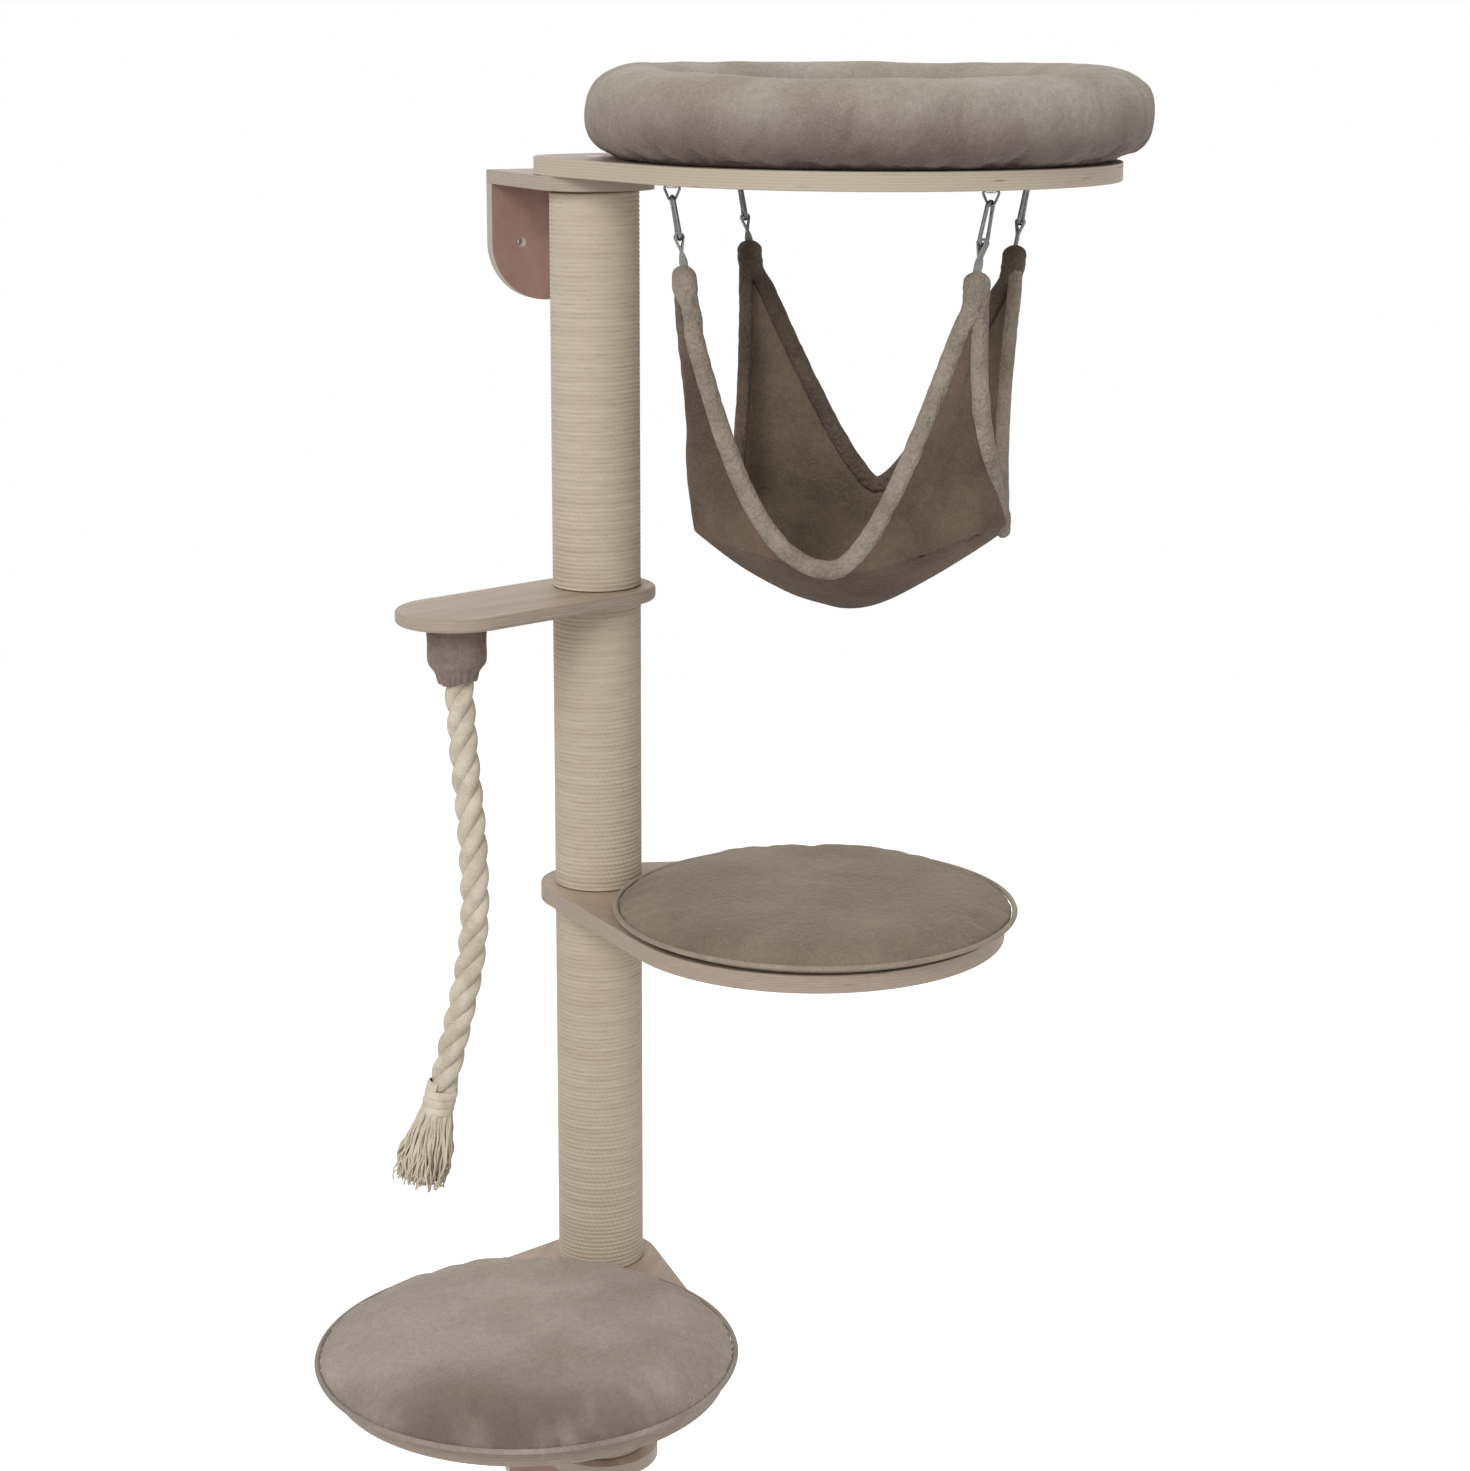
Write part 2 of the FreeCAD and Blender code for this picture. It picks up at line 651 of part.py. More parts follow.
def corner_panel(side_u, side_v, power_v):
    drops = {edge_drop * k for k in panel_levels}
    if side_v > 0:
        drops |= {back_drop * k for k in panel_levels[3:]}
    wires = [panel_wire(side_u, side_v, drop, power_v) for drop in sorted(drops)]
    return Part.makeLoft(wires, True, True)


def bowl_wire(scale, z, inset):
    pieces = []
    move = Vec(bowl_low_u * (1 - scale), 0, z)
    for side_u, side_v in ((1, 1), (1, -1), (-1, -1), (-1, 1)):
        run = corner_run(0.0, 0.0, corner_r[-1][1], inset)
        if side_u * side_v < 0:
            run = [tuple(reversed(points)) for points in reversed(run)]
        for points in run:
            pieces.append([Vec(p.x * side_u, p.y * side_v, 0) * scale + move for p in points])
    return Part.Wire(outline_edges(pieces))


def hammock_bowl():
    """Sagging bottom of the hammock, below the lowest point of its front edge."""
    rim_z = cloth_top_z - edge_drop
    outer = []
    inner = []
    for scale, share in bowl_profile:
        outer.append(bowl_wire(scale, rim_z - bowl_drop * share, 0.0))
        inner.append(bowl_wire(scale, rim_z - (bowl_drop - cloth_t) * share, cloth_t))
    return Part.makeLoft(outer, True, True).cut(Part.makeLoft(inner, True, True))


# ---------------------------------------------------------------- rope toy
def rope_point(across, drop):
    angle = math.radians(rope_heading)
    base = at(shelf_turn, shelf_reach, shelf_z)
    return base + Vec(math.cos(angle), math.sin(angle), 0) * across + DOWN * drop


def smooth_path(points):
    """Straight runs joined by the largest tangent arcs that the runs allow."""
    edges = []
    start = points[0]
    for before, here, after in zip(points, points[1:], points[2:]):
        run_in = here - before
        run_out = after - here
        turn = run_in.getAngle(run_out)
        trim = trim_share * min(run_in.Length, run_out.Length)
        radius = trim / math.tan(turn / 2)
        print("rope bend radius %.0f" % radius)
        a = here - run_in.normalize() * trim
        c = here + run_out.normalize() * trim
        chord_mid = (a + c) * 0.5
        sag = radius - math.sqrt(radius ** 2 - ((c - a).Length / 2) ** 2)
        b = chord_mid + (here - chord_mid).normalize() * sag
        edges.append(line(start, a))
        edges.append(arc(a, b, c))
        start = c
    edges.append(line(start, points[-1]))
    return edges


def ring_round(where, direction, outer_r, inner_r, length):
    outer = Part.makeCylinder(outer_r, length, where, direction)
    return outer.cut(Part.makeCylinder(inner_r, length, where, direction))


def rope_tassel(where, direction):
    wires = []
    for share, size in tassel_profile:
        circle = Part.Circle(where + direction * (tassel_l * share), direction,
                             tassel_d / 2 * size)
        wires.append(Part.Wire([circle.toShape()]))
    return Part.makeLoft(wires, True, False)


# ---------------------------------------------------------------- build
os.makedirs("parts", exist_ok=True)

# brackets
save("upper_bracket_plate", drilled(bracket_plate(bracket_z), stud_d + 2 * stud_hole_play,
                                    axis, bracket_z, plate_t))
save("upper_wall_plate", wall_plate(bracket_z))
foot_bolt_top = axis + UP * low_bracket_z
low_plate = bracket_plate(low_bracket_z)
foot_bolt_l = plate_t + insert_l - stud_gap
low_plate = low_plate.cut(screw_room(foot_bolt_top, UP, stud_d, foot_bolt_l, bolt_head_d,
                                     bolt_head_h, stud_hole_play))
save("lower_bracket_plate", low_plate)
save("lower_wall_plate", wall_plate(low_bracket_z))
bracket_screws = []
for level in (bracket_z, low_bracket_z):
    for top in bracket_screw_tops(level):
        bracket_screws.append(countersunk(top, DOWN, screw_d, screw_l, screw_head_d,
                                          screw_head_h))
save("bracket_screws", *bracket_screws)

# posts and what joins them
inserts = []
for number, (top, length) in enumerate(zip(post_tops, post_lengths), 1):
    inserts += post(number, top, length)
save("threaded_inserts", *inserts)
studs = [joining_stud(z, t) for z, t in zip((shelf_z, middle_z, bottom_z), between)]
save("joining_studs", *studs)
head_bolt_top = axis + UP * bed_z
head_bolt_l = board_t + plate_t + insert_l - stud_gap
save("clamp_bolts",
     countersunk(head_bolt_top, DOWN, stud_d, head_bolt_l, bolt_head_d, bolt_head_h),
     countersunk(foot_bolt_top, UP, stud_d, foot_bolt_l, bolt_head_d, bolt_head_h))

# boards
top_board = paddle(top_turn, top_reach, top_end_r, board_t, top_board_z, plate_edge_r)
top_board = top_board.cut(screw_room(head_bolt_top, DOWN, stud_d, head_bolt_l, bolt_head_d,
                                     bolt_head_h, stud_hole_play))
strap_nodes = []
screw_nodes = []
for side_u, side_v in hook_corners:
    u = side_u * hook_pitch_u / 2
    v = side_v * hook_pitch_v / 2
    strap_nodes.append(place_on_board(hanger_strap(-side_v), u, v))
    for screw in strap_screws(-side_v):
        screw_nodes.append(place_on_board(screw, u, v))
    for screw in strap_screws(-side_v, screw_play):
        top_board = top_board.cut(place_on_board(screw, u, v))
save("top_board", top_board)
save("hanger_straps", *strap_nodes)
save("hanger_screws", *screw_nodes)

stud_hole = stud_d + 2 * stud_hole_play
anchor_top = at(shelf_turn, shelf_reach, shelf_z)
shelf = paddle(shelf_turn, shelf_reach, arm_w / 2, plate_t, shelf_z, shelf_edge_r)
shelf = drilled(shelf, stud_hole, axis, shelf_z, plate_t)
shelf = shelf.cut(Part.makeCylinder(dowel_d / 2 + screw_play, dowel_in_shelf, anchor_top))
save("step_shelf", shelf)
middle_board = paddle(middle_turn, lower_reach, lower_end_r, board_t, middle_z, plate_edge_r)
save("middle_board", drilled(middle_board, stud_hole, axis, middle_z, board_t))
bottom_board = paddle(bottom_turn, lower_reach, lower_end_r, board_t, bottom_z, plate_edge_r)
save("bottom_board", drilled(bottom_board, stud_hole, axis, bottom_z, board_t))

# bed and cushions
bed_centre = at(top_turn, top_reach + bed_offset, bed_z + soft_gap)
save("bed_bolster", bed_bolster(bed_centre))
save("bed_base", cushion(bed_centre, bed_hole_r - 2 * soft_gap, bed_base_t))
middle_seat = at(middle_turn, lower_reach + cushion_offset, middle_z + board_t + soft_gap)
save("middle_cushion", cushion(middle_seat, cushion_r, middle_cushion_t))
bottom_seat = at(bottom_turn, lower_reach + bottom_cushion_offset,
                 bottom_z + board_t + soft_gap)
save("bottom_cushion", cushion(bottom_seat, bottom_cushion_r, bottom_cushion_t))

# hangers and hammock
loops = []
cloth_room = Part.makeBox(8 * loop_w, 8 * loop_w, 8 * loop_w,
                          Vec(-4 * loop_w, -4 * loop_w, cloth_top_z - 8 * loop_w))
for name, (side_u, side_v), twist, turn in zip(hook_names, hook_corners, hook_twists,
                                               strap_turns):
    u = side_u * hook_pitch_u / 2
    v = side_v * hook_pitch_v / 2
    hook = hang(snap_hook(), side_u, twist)
    gate = hang(hook_gate(), side_u, twist)
    loop = hang(webbing_loop(turn), side_u, twist).cut(cloth_room)
    save("ring_" + name, place_on_board(delta_ring(), u, v))
    save("hook_" + name, place_on_board(hook, u, v))
    save("gate_" + name, place_on_board(gate, u, v))
    loops.append(place_on_board(loop, u, v))
save("hammock_loops", *loops)
cloth = hammock_bowl()
for (side_u, side_v), power in zip(hook_corners, edge_powers):
    cloth = cloth.fuse(corner_panel(side_u, side_v, power))
save("hammock_cloth", place_on_board(cloth.removeSplitter()))

# rope toy
anchor = Part.makeCylinder(anchor_d / 2, anchor_h, anchor_top, DOWN)
dowel_top = anchor_top + UP * dowel_in_shelf
anchor = anchor.cut(Part.makeCylinder(dowel_d / 2 + screw_play, dowel_l, dowel_top, DOWN))
save("anchor_dowel", Part.makeCylinder(dowel_d / 2, dowel_l, dowel_top, DOWN))
route = [rope_point(across, drop) for across, drop in rope_route]
bore_r = rope_d / 2 + anchor_bore_play
anchor = anchor.cut(Part.makeCylinder(bore_r, anchor_bore, anchor_top + DOWN * anchor_h, UP))
save("rope_anchor", anchor)
cover_r = cover_d / 2
sleeve = ring_round(anchor_top, DOWN, cover_r, anchor_d / 2 + cover_gap, anchor_h)
neck_top = anchor_top + DOWN * anchor_h
neck = Part.makeCone(cover_r, cover_mouth_d / 2, cover_l - anchor_h, neck_top, DOWN)
neck_room = Part.makeCone(anchor_d / 2 + cover_gap, rope_d / 2 + cover_mouth_play,
                          cover_l - anchor_h, neck_top, DOWN)
save("anchor_cover", sleeve.fuse(neck.cut(neck_room)).removeSplitter())
rope_path = smooth_path(route)
rope = rod(rope_path, rope_d / 2)
rope_length = sum(edge.Length for edge in rope_path)
print("rope length %.0f, volume over section x length %.4f"
      % (rope_length, rope.Volume / (math.pi * rope_d ** 2 / 4 * rope_length)))
save("rope", rope)
tail = (route[-1] - route[-2]).normalize()
save("rope_whipping", ring_round(route[-1] - tail * whipping_l, tail,
                                 rope_d / 2 + rope_play + whipping_t,
                                 rope_d / 2 + rope_play, whipping_l))
save("rope_tassel", rope_tassel(route[-1], tail))
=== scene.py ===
"""Wall mounted cat tree: a sisal post on two wall brackets, four boards, a round bed, two
cushions, a hanging hammock and a rope toy.

Metres. X runs to the right along the wall, Y points into the wall, Z is up. The origin is
midway between the two screw holes of the upper bracket, on the wall.
"""
import math
import random

import bpy
from mathutils import Matrix, Quaternion, Vector, noise


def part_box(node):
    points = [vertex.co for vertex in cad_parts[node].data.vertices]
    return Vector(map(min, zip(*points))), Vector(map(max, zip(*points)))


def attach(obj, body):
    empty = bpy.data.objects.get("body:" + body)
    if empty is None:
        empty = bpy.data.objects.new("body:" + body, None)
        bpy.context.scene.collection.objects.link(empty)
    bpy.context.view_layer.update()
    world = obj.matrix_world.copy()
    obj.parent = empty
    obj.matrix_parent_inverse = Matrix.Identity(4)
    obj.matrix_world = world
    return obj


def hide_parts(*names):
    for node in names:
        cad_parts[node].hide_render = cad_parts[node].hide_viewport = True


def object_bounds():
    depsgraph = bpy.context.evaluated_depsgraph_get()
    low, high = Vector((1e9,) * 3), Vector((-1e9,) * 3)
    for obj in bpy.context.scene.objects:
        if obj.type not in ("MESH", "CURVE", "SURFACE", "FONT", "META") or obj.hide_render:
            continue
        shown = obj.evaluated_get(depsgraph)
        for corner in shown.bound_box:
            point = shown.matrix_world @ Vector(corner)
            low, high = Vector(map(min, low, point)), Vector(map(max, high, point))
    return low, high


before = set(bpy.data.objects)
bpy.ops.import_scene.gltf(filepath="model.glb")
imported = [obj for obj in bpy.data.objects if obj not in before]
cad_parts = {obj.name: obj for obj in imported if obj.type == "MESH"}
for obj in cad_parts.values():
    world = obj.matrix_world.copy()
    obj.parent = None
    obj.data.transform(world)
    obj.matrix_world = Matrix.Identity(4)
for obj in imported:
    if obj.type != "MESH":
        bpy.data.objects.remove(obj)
cad_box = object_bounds()
scene = bpy.context.scene
scene.view_settings.view_transform = "Standard"

# ---------------------------------------------------------------- camera
# The tree is seen from its left side and from a little above the top board. The lens is long
# and the picture is centred below the line of sight, as in the photograph.
picture_side = 1471.0
lens_in_pixels = 2855.9
sight_row = 632.0                       # row of the picture that the line of sight meets
eye = Vector((-1.1703, -2.7529, 0.2168))
look_right = math.radians(26.92)        # of straight at the wall
look_down = math.radians(11.95)
picture_tilt = math.radians(0.21)

camera_data = bpy.data.cameras.new("camera")
camera_data.sensor_width = 36.0
camera_data.lens = camera_data.sensor_width * lens_in_pixels / picture_side
camera_data.shift_y = (sight_row - picture_side / 2) / picture_side
camera = bpy.data.objects.new("camera", camera_data)
sight = Vector((math.sin(look_right) * math.cos(look_down),
                math.cos(look_right) * math.cos(look_down), -math.sin(look_down)))
camera.rotation_mode = "QUATERNION"
camera.rotation_quaternion = (sight.to_track_quat("-Z", "Y")
                              @ Quaternion((0, 0, 1), picture_tilt))
camera.location = eye
scene.collection.objects.link(camera)
scene.camera = camera

# ---------------------------------------------------------------- rope
# Three-strand cotton rope, 30 mm thick, that hangs from a block under the step shelf. It goes
# up into the block and its lower end is bound and left to fray.
rope_d = 0.030
rope_heading = math.radians(-27)        # the rope hangs in a plane turned this far from X
rope_route = ((0, 0.033), (0.004, 0.125), (0.013, 0.220), (0.0145, 0.318), (-0.005, 0.415),
              (-0.0285, 0.508))         # across that plane, and down from the shelf
strand_r = 0.0079
strand_offset = 0.0070                  # strand's middle to the rope's
rope_lay = 0.084                        # one turn of a strand
strand_sides = 22
rope_step = 0.003
strand_yarns = 16


def srgb(red, green, blue):
    """Colour as it is seen, 0 to 255, for a shader."""
    parts = []
    for value in (red, green, blue):
        share = value / 255
        parts.append(share / 12.92 if share <= 0.04045 else ((share + 0.055) / 1.055) ** 2.4)
    return (*parts, 1.0)


def new_finish(name, roughness):
    material = bpy.data.materials.new(name)
    material.use_nodes = True
    shader = material.node_tree.nodes["Principled BSDF"]
    shader.inputs["Roughness"].default_value = roughness
    return material, material.node_tree, shader


def node(tree, kind, settings=None, **inputs):
    """A shader node. Inputs are values, or sockets to link."""
    made = tree.nodes.new("ShaderNode" + kind)
    for name, value in (settings or {}).items():
        setattr(made, name, value)
    for name, value in inputs.items():
        socket = made.inputs[name.replace("_", " ")]
        if isinstance(value, bpy.types.NodeSocket):
            tree.links.new(value, socket)
        else:
            socket.default_value = value
    return made


def maths(tree, operation, a, b=0.0):
    made = tree.nodes.new("ShaderNodeMath")
    made.operation = operation
    for socket, value in zip(made.inputs, (a, b)):
        if isinstance(value, bpy.types.NodeSocket):
            tree.links.new(value, socket)
        else:
            socket.default_value = value
    return made.outputs[0]


def mixed(tree, share, a, b, blend="MIX"):
    made = tree.nodes.new("ShaderNodeMix")
    made.data_type = "RGBA"
    made.blend_type = blend
    for socket, value in ((made.inputs[0], share), (made.inputs[6], a), (made.inputs[7], b)):
        if isinstance(value, bpy.types.NodeSocket):
            tree.links.new(value, socket)
        else:
            socket.default_value = value
    return made.outputs[2]


def spread(tree, value, low, high):
    """Map value from low..high to 0..1, smoothly and held at the ends."""
    made = node(tree, "MapRange", {"interpolation_type": "SMOOTHSTEP"}, Value=value,
                From_Min=low, From_Max=high)
    return made.outputs[0]


def own_place(tree):
    """The piece's own coordinates, in metres."""
    return node(tree, "TexCoord").outputs["Object"]


def grained(tree, place, scale, detail=3.0, distortion=0.0):
    made = node(tree, "TexNoise", Vector=place, Scale=scale, Detail=detail,
                Distortion=distortion)
    return made.outputs[0]


def bumped(tree, shader, height, strength, distance, below=None):
    made = node(tree, "Bump", Height=height, Strength=strength, Distance=distance)
    if below is not None:
        tree.links.new(below.outputs[0], made.inputs["Normal"])
    tree.links.new(made.outputs[0], shader.inputs["Normal"])
    return made


def new_piece(name, verts, faces, material, body, smooth=True):
    """Mesh object that rides on a body of the frame."""
    mesh = bpy.data.meshes.new(name)
    mesh.from_pydata([tuple(v) for v in verts], [], faces)
    mesh.polygons.foreach_set("use_smooth", [smooth] * len(mesh.polygons))
    mesh.materials.append(material)
    mesh.update()
    piece = bpy.data.objects.new(name, mesh)
    scene.collection.objects.link(piece)
    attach(piece, body)
    return piece


def smooth_line(name, points):
    """Points read along a smooth curve that has the given control points."""
    data = bpy.data.curves.new(name, "CURVE")
    data.dimensions = "3D"
    spline = data.splines.new("NURBS")
    spline.points.add(len(points) - 1)
    for control, point in zip(spline.points, points):
        control.co = (*point, 1.0)
    spline.order_u = 3
    spline.use_endpoint_u = True
    spline.resolution_u = 40
    holder = bpy.data.objects.new(name, data)
    mesh = bpy.data.meshes.new_from_object(holder)
    line = [v.co.copy() for v in mesh.vertices]
    bpy.data.objects.remove(holder)
    bpy.data.curves.remove(data)
    bpy.data.meshes.remove(mesh)
    return line


def evenly(line, step):
    """Points about a step apart along a line."""
    lengths = [0.0]
    for a, b in zip(line, line[1:]):
        lengths.append(lengths[-1] + (b - a).length)
    count = max(2, round(lengths[-1] / step))
    points = []
    k = 0
    for n in range(count + 1):
        target = lengths[-1] * n / count
        while k < len(line) - 2 and lengths[k + 1] < target:
            k += 1
        share = (target - lengths[k]) / (lengths[k + 1] - lengths[k])
        points.append(line[k].lerp(line[k + 1], share))
    return points


def along_line(points):
    """Direction, side and third axis at each point, without needless twist."""
    directions = []
    for n in range(len(points)):
        ahead = points[min(n + 1, len(points) - 1)] - points[max(n - 1, 0)]
        directions.append(ahead.normalized())
    side = directions[0].orthogonal().normalized()
    axes = []
    for direction in directions:
        side = (side - direction * side.dot(direction)).normalized()
        axes.append((direction, side, direction.cross(side)))
    return axes


def tube(points, radius, sides, flatten=None, round_ends=False):
    """Vertices and faces of a closed tube. radius is a length or a function of the share."""
    axes = along_line(points)
    verts = []
    last = len(points) - 1
    for n, (point, (direction, side, third)) in enumerate(zip(points, axes)):
        r = radius(n / last) if callable(radius) else radius
        for k in range(sides):
            angle = 2 * math.pi * k / sides
            verts.append(point + side * math.cos(angle) * r + third * math.sin(angle) * r)
    faces = []
    for n in range(last):
        for k in range(sides):
            nxt = (k + 1) % sides
            faces.append((n * sides + k, n * sides + nxt, (n + 1) * sides + nxt,
                          (n + 1) * sides + k))
    faces.append(tuple(reversed(range(sides))))
    faces.append(tuple(range(last * sides, (last + 1) * sides)))
    return verts, faces


def joined(parts):
    """One list of vertices and faces from several."""
    verts = []
    faces = []
    for part_verts, part_faces in parts:
        start = len(verts)
        verts += part_verts
        faces += [tuple(start + v for v in face) for face in part_faces]
    return verts, faces


def cotton():
    """Unbleached cotton, spun into yarns that run along each strand."""
    material, tree, shader = new_finish("cotton rope", 0.9)
    shader.inputs["Sheen Weight"].default_value = 0.25
    place = own_place(tree)
    turned = node(tree, "UVMap").outputs[0]
    split = node(tree, "SeparateXYZ", Vector=turned)
    yarns = maths(tree, "SINE", maths(tree, "MULTIPLY", split.outputs[1],
                                      2 * math.pi * strand_yarns))
    patches = spread(tree, grained(tree, place, 55.0), 0.35, 0.65)
    colour = mixed(tree, patches, srgb(200, 189, 168), srgb(220, 210, 190))
    dusty = spread(tree, grained(tree, place, 260.0, 4.0), 0.62, 0.75)
    colour = mixed(tree, maths(tree, "MULTIPLY", dusty, 0.35), colour, srgb(160, 146, 122))
    valleys = spread(tree, yarns, -1.0, -0.2)
    shade = maths(tree, "MULTIPLY", maths(tree, "SUBTRACT", 1.0, valleys), 0.22)
    colour = mixed(tree, shade, colour, srgb(140, 126, 102))
    tree.links.new(colour, shader.inputs["Base Color"])
    fuzz = grained(tree, place, 900.0, 4.0)
    first = bumped(tree, shader, fuzz, 0.5, 0.0006)
    bumped(tree, shader, yarns, 0.45, 0.0004, first)
    return material


anchor_low, anchor_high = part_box("rope_anchor")
rope_top = Vector(((anchor_low.x + anchor_high.x) / 2, (anchor_low.y + anchor_high.y) / 2,
                   anchor_high.z))
rope_side = Vector((math.cos(rope_heading), math.sin(rope_heading), 0))
rope_points = [rope_top + rope_side * across - Vector((0, 0, down))
               for across, down in rope_route]
rope_line = smooth_line("rope route", rope_points)
rope_middle = evenly(rope_line, rope_step)
rope_axes = along_line(rope_middle)
cotton_finish = cotton()


def add_turned_yarns(piece, strands, rows, sides, step, radius, lean):
    """Coordinates that follow the yarns of twisted strands."""
    layer = piece.data.uv_layers.new(name="yarns")
    turn = math.tan(lean) / radius / (2 * math.pi)
    for face in piece.data.polygons:
        for corner in face.loop_indices:
            number = piece.data.loops[corner].vertex_index % (rows * sides)
            row, place = divmod(number, sides)
            around = place / sides
            columns = [piece.data.loops[c].vertex_index % sides for c in face.loop_indices]
            if place == 0 and sides - 1 in columns:
                around = 1.0
            layer.data[corner].uv = (row * step, around + turn * row * step)


def rope_strand(number):
    """One strand, laid round the rope's middle line."""
    points = []
    for n, (point, (direction, side, third)) in enumerate(zip(rope_middle, rope_axes)):
        angle = 2 * math.pi * (n * rope_step / rope_lay + number / 3)
        points.append(point + (side * math.cos(angle) + third * math.sin(angle))
                      * strand_offset)
    verts = []
    for n, (point, middle) in enumerate(zip(points, rope_middle)):
        outward = (point - middle).normalized()
        ahead = points[min(n + 1, len(points) - 1)] - points[max(n - 1, 0)]
        round_axis = ahead.normalized().cross(outward).normalized()
        worn = 1 + 0.035 * noise.noise(point * 45)
        for k in range(strand_sides):
            angle = 2 * math.pi * k / strand_sides
            verts.append(point + (outward * math.cos(angle) + round_axis * math.sin(angle))
                         * strand_r * worn)
    faces = []
    last = len(points) - 1
    for n in range(last):
        for k in range(strand_sides):
            nxt = (k + 1) % strand_sides
            faces.append((n * strand_sides + k, n * strand_sides + nxt,
                          (n + 1) * strand_sides + nxt, (n + 1) * strand_sides + k))
    faces.append(tuple(reversed(range(strand_sides))))
    faces.append(tuple(range(last * strand_sides, (last + 1) * strand_sides)))
    return verts, faces


verts, faces = joined([rope_strand(number) for number in range(3)])
rope = new_piece("twisted_rope", verts, faces, cotton_finish, "root")
add_turned_yarns(rope, 3, len(rope_middle), strand_sides, rope_step, strand_r,
                 math.radians(-34))
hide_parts("rope")

# Binding: flat cotton tape drawn three times round the rope above its frayed end.
binding_wraps = 3.3
binding_h = 0.0096                      # of one wrap, along the rope
binding_t = 0.0023
binding_steps = 44                      # to a turn
binding_rise = 0.028


def rope_binding():
    direction, side, third = rope_axes[-1]
    end = rope_middle[-1]
    rows = int(binding_wraps * binding_steps)
    verts = []
    section = [(0.0, 0.0), (0.35, 0.8), (0.7, 1.0), (1.0, 0.85), (1.0, 0.0)]
    profile = [(-0.5, 0.0), (-0.46, 0.6), (-0.25, 0.95), (0.0, 1.0), (0.25, 0.95),
               (0.46, 0.6), (0.5, 0.0)]
    for n in range(rows + 1):
        angle = 2 * math.pi * n / binding_steps
        drop = binding_rise * n / rows
        radial = side * math.cos(angle) + third * math.sin(angle)
        centre = end - direction * (binding_rise - drop + 0.0005)
        uneven = 1 + 0.12 * noise.noise(Vector((angle * 0.9, 3.1, 0)))
        for along, out in profile:
            r = rope_d / 2 - 0.0006 + binding_t * out * uneven
            verts.append(centre + direction * along * binding_h + radial * r)
    wide = len(profile)
    faces = []
    for n in range(rows):
        for k in range(wide - 1):
            a = n * wide + k
            faces.append((a, a + wide, a + wide + 1, a + 1))
    return verts, faces


verts, faces = rope_binding()
binding = new_piece("rope_binding", verts, faces, cotton_finish, "root")
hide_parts("rope_whipping")

# Frayed end: the strands' yarns combed out below the binding, crimped from the lay and cut
# unevenly.
fray_yarns = 430
fray_l = 0.080
fray_spread = 0.0270
fray_start_r = 0.0155
fray_yarn_r = 0.00135
fray_rows = 18
fray_chance = random.Random(7)


def frayed_end():
    direction, side, third = rope_axes[-1]
    start = rope_middle[-1] - direction * 0.010
    parts = []
    for number in range(fray_yarns):
        angle = fray_chance.uniform(0, 2 * math.pi)
        out = math.sqrt(fray_chance.uniform(0.0, 1.0))
        length = fray_l * fray_chance.uniform(0.86, 1.03)
        flare = fray_spread * fray_chance.uniform(0.80, 1.08)
        waves = fray_chance.uniform(1.6, 3.2)
        phase = fray_chance.uniform(0, 2 * math.pi)
        sway = 0.0022 * fray_chance.uniform(0.5, 1.3)
        turn = fray_chance.uniform(-0.6, 0.6)
        points = []
        for row in range(fray_rows + 1):
            share = row / fray_rows
            bearing = angle + turn * share
            radial = side * math.cos(bearing) + third * math.sin(bearing)
            across = side * -math.sin(bearing) + third * math.cos(bearing)
            r = out * (fray_start_r + (flare - fray_start_r) * min(1, share * 1.6))
            wave = math.sin(phase + waves * 2 * math.pi * share) * sway * share
            other = math.cos(phase * 1.7 + waves * 1.6 * math.pi * share) * sway * share
            points.append(start + direction * (0.008 + length * share) + radial * (r + wave)
                          + across * other)
        thin = fray_chance.uniform(0.75, 1.15) * fray_yarn_r

        def taper(share, thin=thin):
            return thin * (1.0 - 0.45 * share ** 2)
        parts.append(tube(points, taper, 6))
    return joined(parts)


verts, faces = frayed_end()
fray = new_piece("rope_frayed_end", verts, faces, cotton_finish, "root")
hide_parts("rope_tassel")

# ---------------------------------------------------------------- room
# White studio: a pale floor well below the tree and an even white surround, so that the tree
# stands free. Two broad lamps from the front and a weak one above the wall side.
floor_z = -1.85
floor_r = 6.0
floor_glow = 0.60
surround_light = 0.55
lamp_plan = (
    ("key lamp", (-3.2, -3.1, 2.1), 2.4, 116.0),
    ("fill lamp", (3.0, -2.9, 0.3), 2.4, 10.0),
    ("wall lamp", (0.6, 2.6, 2.4), 2.2, 26.0),
)


def seen_directly(tree):
    """1 where the eye, a reflection or a view through glass meets the surface."""
    path = node(tree, "LightPath").outputs
    either = maths(tree, "MAXIMUM", path["Is Camera Ray"], path["Is Glossy Ray"])
    return maths(tree, "MAXIMUM", either, path["Is Transmission Ray"])


world = bpy.data.worlds.new("surround")
world.use_nodes = True
scene.world = world
sky = world.node_tree
sky.nodes.clear()
lighting = node(sky, "Background", Color=(1, 1, 1, 1), Strength=surround_light)
backdrop = node(sky, "Background", Color=(1, 1, 1, 1), Strength=1.0)
chosen = sky.nodes.new("ShaderNodeMixShader")
sky.links.new(seen_directly(sky), chosen.inputs[0])
sky.links.new(lighting.outputs[0], chosen.inputs[1])
sky.links.new(backdrop.outputs[0], chosen.inputs[2])
outlet = sky.nodes.new("ShaderNodeOutputWorld")
sky.links.new(chosen.outputs[0], outlet.inputs[0])

